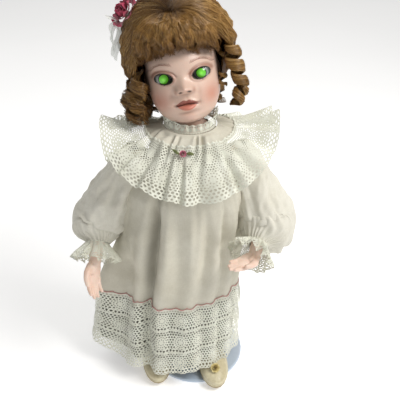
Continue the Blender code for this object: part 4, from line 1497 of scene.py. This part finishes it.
def petal_ring(
    points, faces, centre, out, radius, count, size, lift, phase, cup=0.5, ruffle=0.0, steps=7
):
    """Adds rounded petals standing round an axis."""
    side = unit(
        np.cross(out, [0.0, 1.0, 0.0]) if abs(out[1]) < 0.9 else np.cross(out, [1.0, 0.0, 0.0])
    )
    up = np.cross(side, out)
    s, t = patch_grid(steps, steps)
    for k in range(count):
        angle = phase + 2 * pi * k / count
        radial = cos(angle) * side + sin(angle) * up
        tangent = -sin(angle) * side + cos(angle) * up
        width = size * np.sqrt(np.clip(1 - (1.35 * t - 0.55) ** 2 * 0.82, 0.03, 1)) * 0.8
        far = radius + size * 1.05 * t * (1 - lift)
        rise = (
            size * 1.15 * t * lift + cup * size * s ** 2 * 0.55 * t + ruffle * np.sin(s * 7 + k) * t
        )
        curl_back = -0.22 * size * t ** 3
        spot = (
            centre + radial * (far - cup * size * 0.35 * s ** 2)[:, None]
            + tangent * (s * width)[:, None] + out * (rise + curl_back)[:, None]
        )
        faces.append(quads(steps, steps, first=sum(len(p) for p in points)))
        points.append(spot)


def ribbon_flower(name, centre, out, size, colour, dark, layers, body, node, slot):
    """Rings of petals: (radius, count, petal size, how upright) for each, from the outside in. The
    petals darken towards the heart as painted shade.
    """
    centre, out = np.asarray(centre), unit(np.asarray(out, float))
    look = Look(name + "_look", colour, 0.5, Sheen_Weight=0.4, Specular_IOR_Level=0.5)
    # painted shade: the colour runs to dark towards the flower's heart, where the petals crowd
    tone = look.ramp(look.attribute("depth"), ((0.0, dark), (1.0, colour)))
    grain = look.mottled(1400, 2, (0.84, 0.82, 0.82), (1, 1, 1), (1, 1, 0.15))
    look.colour(look.mix("MULTIPLY", 1.0, tone, grain)).bump(
        look.noise(1400, 2, (1, 1, 0.15)), 0.4, 0.0004
    )
    points, faces = [], []
    for k, (radius, count, petal, lift) in enumerate(layers):
        petal_ring(
            points, faces, centre + out * size * 0.05 * k, out, radius * size, count, petal * size,
            lift, 0.9 * k, 0.6, 0.04 * size
        )
    points = np.concatenate(points)
    # depth: low near the heart, where the painted shade is darkest
    away, rise = points - centre, (points - centre) @ out
    flat = np.linalg.norm(away - rise[:, None] * out, axis=1)
    depth = np.clip(flat / size * 0.8 + rise / size * 0.35, 0, 1)
    flower = new_mesh(name, points, np.concatenate(faces), look.material, depth=depth)
    put(flower, body, (node,))


def build_trims():
    place, out = to_world(np.array([-45.0, 2.0, 120.0]) * MM), HEAD_M[:3, :3] @ [-0.62, -0.42, 0.66]
    ribbon_flower(
        "hair_rose_bloom", place, out, 0.0165, srgb(206, 60, 100), srgb(120, 24, 52),
        (
            (0.62, 7, 0.62, 0.30), (0.42, 6, 0.60, 0.50), (0.26, 5, 0.52, 0.72),
            (0.12, 4, 0.44, 0.90), (0.03, 3, 0.36, 0.97)
        ),
        "head", "hair_rose", "silk_rose",
    )

    # sheer dotted bow under the rose: two tails and a short strip upwards from the knot
    sheer = Look("sheer_ribbon_look", srgb(226, 228, 222), 0.45, Alpha=0.72, Sheen_Weight=0.3)
    sheer.colour(sheer.mottled(900, 2, srgb(208, 212, 206), srgb(238, 240, 234), (1, 1, 0.2)))
    sheer.bump(sheer.noise(1500, 2), 0.3, 0.0003)
    points, faces = [], []
    knot = np.array([-56.0, 3.0, 112.0])
    for k, (way, long, wide, swing) in enumerate(
        (
            ((-0.22, 0.1, -1.0), 36, 15.0, 3.0), ((-0.5, 0.55, -0.8), 30, 14.0, -3.0),
            ((-0.35, -0.2, 0.5), 12, 10, 2.0)
        )
    ):
        way = unit(np.array(way))
        face = unit(np.cross(way, [-0.9, -0.3, 0.2]))
        out = np.cross(way, face)
        s, t = patch_grid(11, 26)
        width = wide * (0.25 + 0.75 * np.sin(np.clip(t * 1.25, 0, 1) * pi / 2))
        crease = 1.3 * np.sin(s * 5 + k) * (1 - 0.5 * t)
        spot = (
            knot + way * (long * t)[:, None] + face * (s * width * 0.8)[:, None]
            + out * (crease + swing * np.sin(t * 5))[:, None]
        )
        faces.append(quads(26, 11, first=sum(len(p) for p in points)))
        points.append(spot)
    bow = new_mesh(
        "hair_bow_ribbon", to_world(np.concatenate(points) * MM), np.concatenate(faces),
        sheer.material
    )
    put(bow, "head", ("hair_bow",))

    centre, out = np.array([-0.0176, -0.0530, 0.3322]), np.array([0.0, -0.70, 0.714])
    ribbon_flower(
        "collar_rosette_bloom", centre, out, 0.0040, srgb(224, 132, 158), srgb(178, 74, 104),
        ((0.5, 6, 0.6, 0.35), (0.34, 6, 0.6, 0.6), (0.18, 5, 0.6, 0.85), (0.04, 4, 0.55, 0.95)),
        "trunk", "collar_rosette", "ribbon_rosette",
    )
    green = Look("ribbon_leaf_look", srgb(86, 96, 50), 0.5, Sheen_Weight=0.2)
    green.colour(green.mottled(1500, 2, srgb(66, 76, 38), srgb(112, 120, 66), (0.2, 1, 1)))
    green.bump(green.noise(1500, 2, (0.2, 1, 1)), 0.4, 0.0003)
    up = np.cross([1.0, 0, 0], out)
    for side, sign in (("right", -1), ("left", 1)):
        s, t = patch_grid(9, 18)
        width = 0.0018 * np.sin(np.clip(t, 0, 1) * pi) ** 0.7 + 0.0001
        x = sign * (0.0030 + 0.0080 * t)
        drop = (0.0010 if side == "left" else -0.0052) * t ** 1.3
        spot = (
            centre + np.stack([x, 0 * x, 0 * x], -1) + up * (drop + s * width)[:, None]
            + out * (0.0003 + 0.0009 * (1 - np.abs(s)) + 0.001 * np.sin(t * 3))[:, None]
        )
        put(
            new_mesh(f"leaf_{side}_ribbon", spot, quads(18, 9), green.material), "trunk",
            (f"collar_leaf_{side}",)
        )

    for side in ("right", "left"):
        foot_x, toe_y = FEET[side]
        centre = (foot_x, toe_y + 0.0150, 0.0272)
        # painted shade: the right rosette gets a greyer, darker copy of the colours, for the shadow
        # it stands in; the left one's yellow tint is its own
        colour = (
            (srgb(236, 224, 166), srgb(222, 202, 130)) if side == "left"
            else (srgb(214, 204, 172), srgb(188, 174, 134))
        )
        ribbon_flower(
            f"shoe_rosette_{side}_bloom", centre, (0, -0.5, 0.866), 0.0062, *colour,
            (
                (0.5, 7, 0.6, 0.25), (0.30, 7, 0.6, 0.5), (0.16, 5, 0.6, 0.8),
                (0.03, 4, 0.55, 0.95), (0.0, 6, 0.34, 0.10)
            ),
            f"leg_{side}", f"shoe_rosette_{side}", "shoe_rosette",
        )


# ------------------------------------------------- under the clothes, and the stand

def soft_tube(name, levels, look, puff, seam, seed):
    """A stuffed cotton piece through levels of (centre, half widths), metres, with a seam."""
    levels = np.asarray(levels, float)
    rows, columns = 48, 72
    t = np.linspace(0, 1, rows)
    at = np.linspace(0, 1, len(levels))
    cx, cy, cz, a, b = (table(t, at, levels[:, k], 0.04) for k in range(5))
    tt, aa = np.meshgrid(t, full_turn(columns), indexing="ij")
    wrinkle = (
        waves(
            np.stack([np.cos(aa), np.sin(aa), tt * 5], -1).reshape(-1, 3), 0.7, seed
        ).reshape(tt.shape)
        * puff
    )
    groove = -seam * (bell(aa, 0.05, 0.06) + bell(aa, pi, 0.06))
    close = np.sqrt(np.clip(1 - np.abs(2 * tt - 1) ** 9, 0.0004, 1))
    grow = (wrinkle + groove) * close
    points = np.stack(
        [
            cx[:, None] + (a[:, None] * close + grow) * np.cos(aa),
            cy[:, None] + (b[:, None] * close + grow) * np.sin(aa), cz[:, None] + 0 * aa
        ],
        -1
    )
    caps = [np.arange(columns)[::-1][None], (np.arange(columns) + (rows - 1) * columns)[None]]
    return new_mesh(name, points.reshape(-1, 3), [quads(rows, columns, wrap=True)] + caps, look)


def build_under(batiste):
    muslin = cloth_look("muslin_look", srgb(214, 200, 176), srgb(196, 180, 154), 900)
    torso = [
        (-18.0, 0, 200, 26, 19), (-17.8, 0, 206, 33, 23.5), (-17.2, 0, 215, 35, 26.5),
        (-16, 0, 232, 31, 24.5), (-14, 0, 260, 32, 24.5), (-11.5, 0, 290, 34, 25),
        (-10.5, 0, 304, 30, 21.5), (-10.2, 0, 311, 22, 16)
    ]
    body = soft_tube("torso_stuffed", np.array(torso) * MM, muslin, 0.0005, 0.0006, 5)
    put(body, "trunk", ("torso",))
    for side, sign in (("right", -1), ("left", 1)):
        shoulder, elbow, _, _ = arm_points(side)
        along = unit(elbow - shoulder)
        ends = [
            shoulder - along * 0.003, shoulder + along * 0.02, (shoulder + elbow) / 2,
            elbow - along * 0.008
        ]
        arm = soft_tube(
            f"upper_arm_{side}_stuffed",
            [(*p, r * MM, r * MM) for p, r in zip(ends, (9.5, 11.3, 11.3, 9.5))], muslin, 0.0004,
            0.0005, 6
        )
        put(arm, f"upper_arm_{side}", (f"upper_arm_{side}",))
        foot_x, toe_y = FEET[side]
        hip = np.array([-0.018 + sign * 0.0195, 0, 0.196])
        ankle = np.array([foot_x, toe_y + SHOE_LENGTH - HEEL_TO_ANKLE, 0.0340])
        knee = hip + (ankle - hip) * 0.42
        thigh = soft_tube(
            f"thigh_{side}_stuffed",
            [
                (*(hip + (knee - hip) * s), r * MM, r * MM) for s,
                r in ((0.07, 14.5), (0.3, 16.2), (0.6, 16.2), (0.92, 13.8))
            ],
            muslin, 0.0004, 0.0005, 8
        )
        put(thigh, f"leg_{side}", (f"thigh_{side}",))
        rows, columns = 60, 90
        path, across, up, t = tube_frame(
            [hip + (knee - hip) * 0.35, knee, knee + (ankle - knee) * 0.45], rows
        )
        turn = full_turn(columns)
        tt, aa = np.meshgrid(t, turn, indexing="ij")
        around = np.stack([np.cos(aa), np.sin(aa), tt * 3], -1).reshape(-1, 3)
        ripples = waves(around, 0.7, 12).reshape(tt.shape)
        radius = (
            (
                18.6 + 0.5 * np.sin(aa * 18 + 2 * np.sin(aa * 3)) * (0.4 + tt) + 0.5 * ripples
                + 1.0 * smoothstep(tt, 0.8, 1)
            )
            * MM
        )
        points = (
            path[:, None] + across[:, None] * (radius * np.cos(aa))[..., None]
            + up[:, None] * (radius * np.sin(aa))[..., None]
        )
        drawers = new_mesh(
            f"pantaloon_{side}_cloth", points.reshape(-1, 3), quads(rows, columns, wrap=True),
            batiste
        )
        put(drawers, f"leg_{side}", (f"pantaloon_{side}",))

    rows, columns = 90, 420
    turn, z = round_grid(columns, 0.036, 0.165, rows)
    hang = skirt(turn, z, -0.0045 + 0.0006 * np.sin(turn * 40))
    # painted shade: the petticoat is darkened all over, for the shadow inside the skirt
    slip = new_mesh(
        "petticoat_cloth", hang, quads(rows, columns, wrap=True), batiste,
        under=np.full(len(z), 0.9)
    )
    put(slip, "trunk", ("petticoat",))


def paint_frame(limb):
    enamel = Look(
        "base_enamel_look", srgb(196, 210, 226), 0.28, Coat_Weight=0.4, Specular_IOR_Level=0.5
    )
    enamel.colour(enamel.mottled(22, 4, srgb(182, 198, 216), srgb(206, 218, 232)))
    enamel.rough(enamel.noise(180, 3), 0.22, 0.42).bump(enamel.noise(260, 2), 0.12, 0.0004)
    steel = Look("plated_steel_look", (0.62, 0.62, 0.63), 0.25, Metallic=1.0)
    steel.colour(steel.mottled(60, 3, (0.50, 0.50, 0.51), (0.68, 0.68, 0.69)))
    steel.rough(steel.noise(400, 3, (1, 1, 0.1)), 0.16, 0.42).bump(
        steel.noise(900, 2, (1, 1, 0.05)), 0.15, 0.0003
    )
    nylon = Look("nylon_look", srgb(226, 224, 214), 0.5)
    nylon.colour(
        nylon.mottled(120, 3, srgb(214, 211, 200), srgb(232, 230, 222))
    ).bump(nylon.noise(1200, 2), 0.25, 0.0003)
    wood = Look("beech_look", (0.62, 0.44, 0.26), 0.55)
    wood.colour(
        wood.mottled(160, 4, (0.44, 0.28, 0.15), (0.66, 0.48, 0.30), (1, 1, 0.12))
    ).bump(wood.noise(300, 3, (1, 1, 0.12)), 0.4, 0.0003)
    wire = Look("spring_wire_look", (0.42, 0.42, 0.44), 0.4, Metallic=1.0)
    wire.colour(
        wire.mottled(300, 3, (0.30, 0.29, 0.29), (0.50, 0.50, 0.52))
    ).rough(wire.noise(500, 2), 0.28, 0.55)
    pearl = Look("pearl_button_look", srgb(240, 234, 220), 0.18, Coat_Weight=0.5, Sheen_Weight=0.2)
    pearl.colour(
        pearl.mottled(500, 3, srgb(230, 220, 204), srgb(248, 244, 236))
    ).rough(pearl.noise(700, 2), 0.12, 0.3)
    sole = Look("shoe_sole_look", srgb(172, 158, 126), 0.7)
    sole.colour(
        sole.mottled(200, 4, srgb(150, 134, 102), srgb(186, 172, 140))
    ).bump(sole.noise(900, 3), 0.5, 0.0005)
    for names, material in (
        (("shoulder_plate", "lower_leg_right", "lower_leg_left"), limb),
        (("stand_base",), enamel.material),
        (("stand_tube", "stand_rod", "waist_clasp"), steel.material),
        (("stand_bushing",), nylon.material),
        (("neck_button",), wood.material), (("neck_hook", "neck_spring"), wire.material),
        (("back_button_1", "back_button_2", "back_button_3"), pearl.material),
        (("shoe_sole_right", "shoe_sole_left"), sole.material),
    ):
        for name in names:
            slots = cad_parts[name].data.materials
            slots.clear()
            slots.append(material)


# ------------------------------------------------------------ camera and stage

# Where the camera stands, and how many degrees it looks down and to the right
CAMERA_AT, CAMERA_DOWN, CAMERA_ROUND = (-0.0557, -0.5773, 0.620), 33.1, -6.0


def build_stage():
    camera = bpy.data.cameras.new("photo_camera")
    camera.lens, camera.sensor_width = 54.0, 36.0
    camera.clip_start = 0.01
    eye = bpy.data.objects.new("photo_camera", camera)
    eye.location = CAMERA_AT
    eye.rotation_euler = Euler((radians(90 - CAMERA_DOWN), 0, radians(CAMERA_ROUND)), "XYZ")
    bpy.context.scene.collection.objects.link(eye)
    bpy.context.scene.camera = eye
    world = bpy.data.worlds.new("studio")
    world.use_nodes = True
    world.node_tree.nodes["Background"].inputs["Color"].default_value = (1.0, 0.99, 0.97, 1)
    world.node_tree.nodes["Background"].inputs["Strength"].default_value = 0.36
    bpy.context.scene.world = world
    bpy.context.scene.view_settings.view_transform = "Standard"
    for name, place, size, power, colour in (
        ("key", (0.62, -0.42, 1.15), 0.5, 11.5, (1.0, 0.98, 0.95)),
        ("back", (-0.3, 0.7, 1.5), 1.0, 5.0, (1.0, 1.0, 1.0)),
    ):
        lamp = bpy.data.lights.new(name, "AREA")
        lamp.size, lamp.energy, lamp.color = size, power, colour
        obj = bpy.data.objects.new(name, lamp)
        obj.location = place
        obj.rotation_euler = (
            Vector((0, 0, 0.25)) - Vector(place)
        ).to_track_quat("-Z", "Y").to_euler()
        bpy.context.scene.collection.objects.link(obj)
    floor_look = Look("studio_floor", (0.95, 0.95, 0.95), 0.8)
    floor_look.colour(floor_look.mottled(3, 2, (0.93, 0.93, 0.93), (0.96, 0.96, 0.96)))
    floor_look.shader.inputs["Emission Color"].default_value = (1.0, 1.0, 1.0, 1)
    floor_look.shader.inputs["Emission Strength"].default_value = 0.36
    corners = np.array([(-9, -9, -0.0002), (9, -9, -0.0002), (9, 9, -0.0002), (-9, 9, -0.0002)])
    new_mesh(
            "studio_floor", corners, np.array([[0, 1, 2, 3]]), floor_look.material, smooth=False
        )


build_stage()
build_head()
build_face_trim()
build_hair()
batiste, lace = build_dress()
# painted light: the sleeves get a lighter copy of the dress batiste, for the light they catch
lit_sleeve_batiste = cloth_look("lit_sleeve_batiste_look", srgb(227, 225, 215), srgb(212, 209, 197), 2200)
for side in ("right", "left"):
    build_sleeve(side, lit_sleeve_batiste, lace)
build_collar(batiste, lace)
limb = limb_look()
for side in ("right", "left"):
    build_hand(side, limb)
    build_shoe(side)
build_trims()
build_under(batiste)
paint_frame(limb)
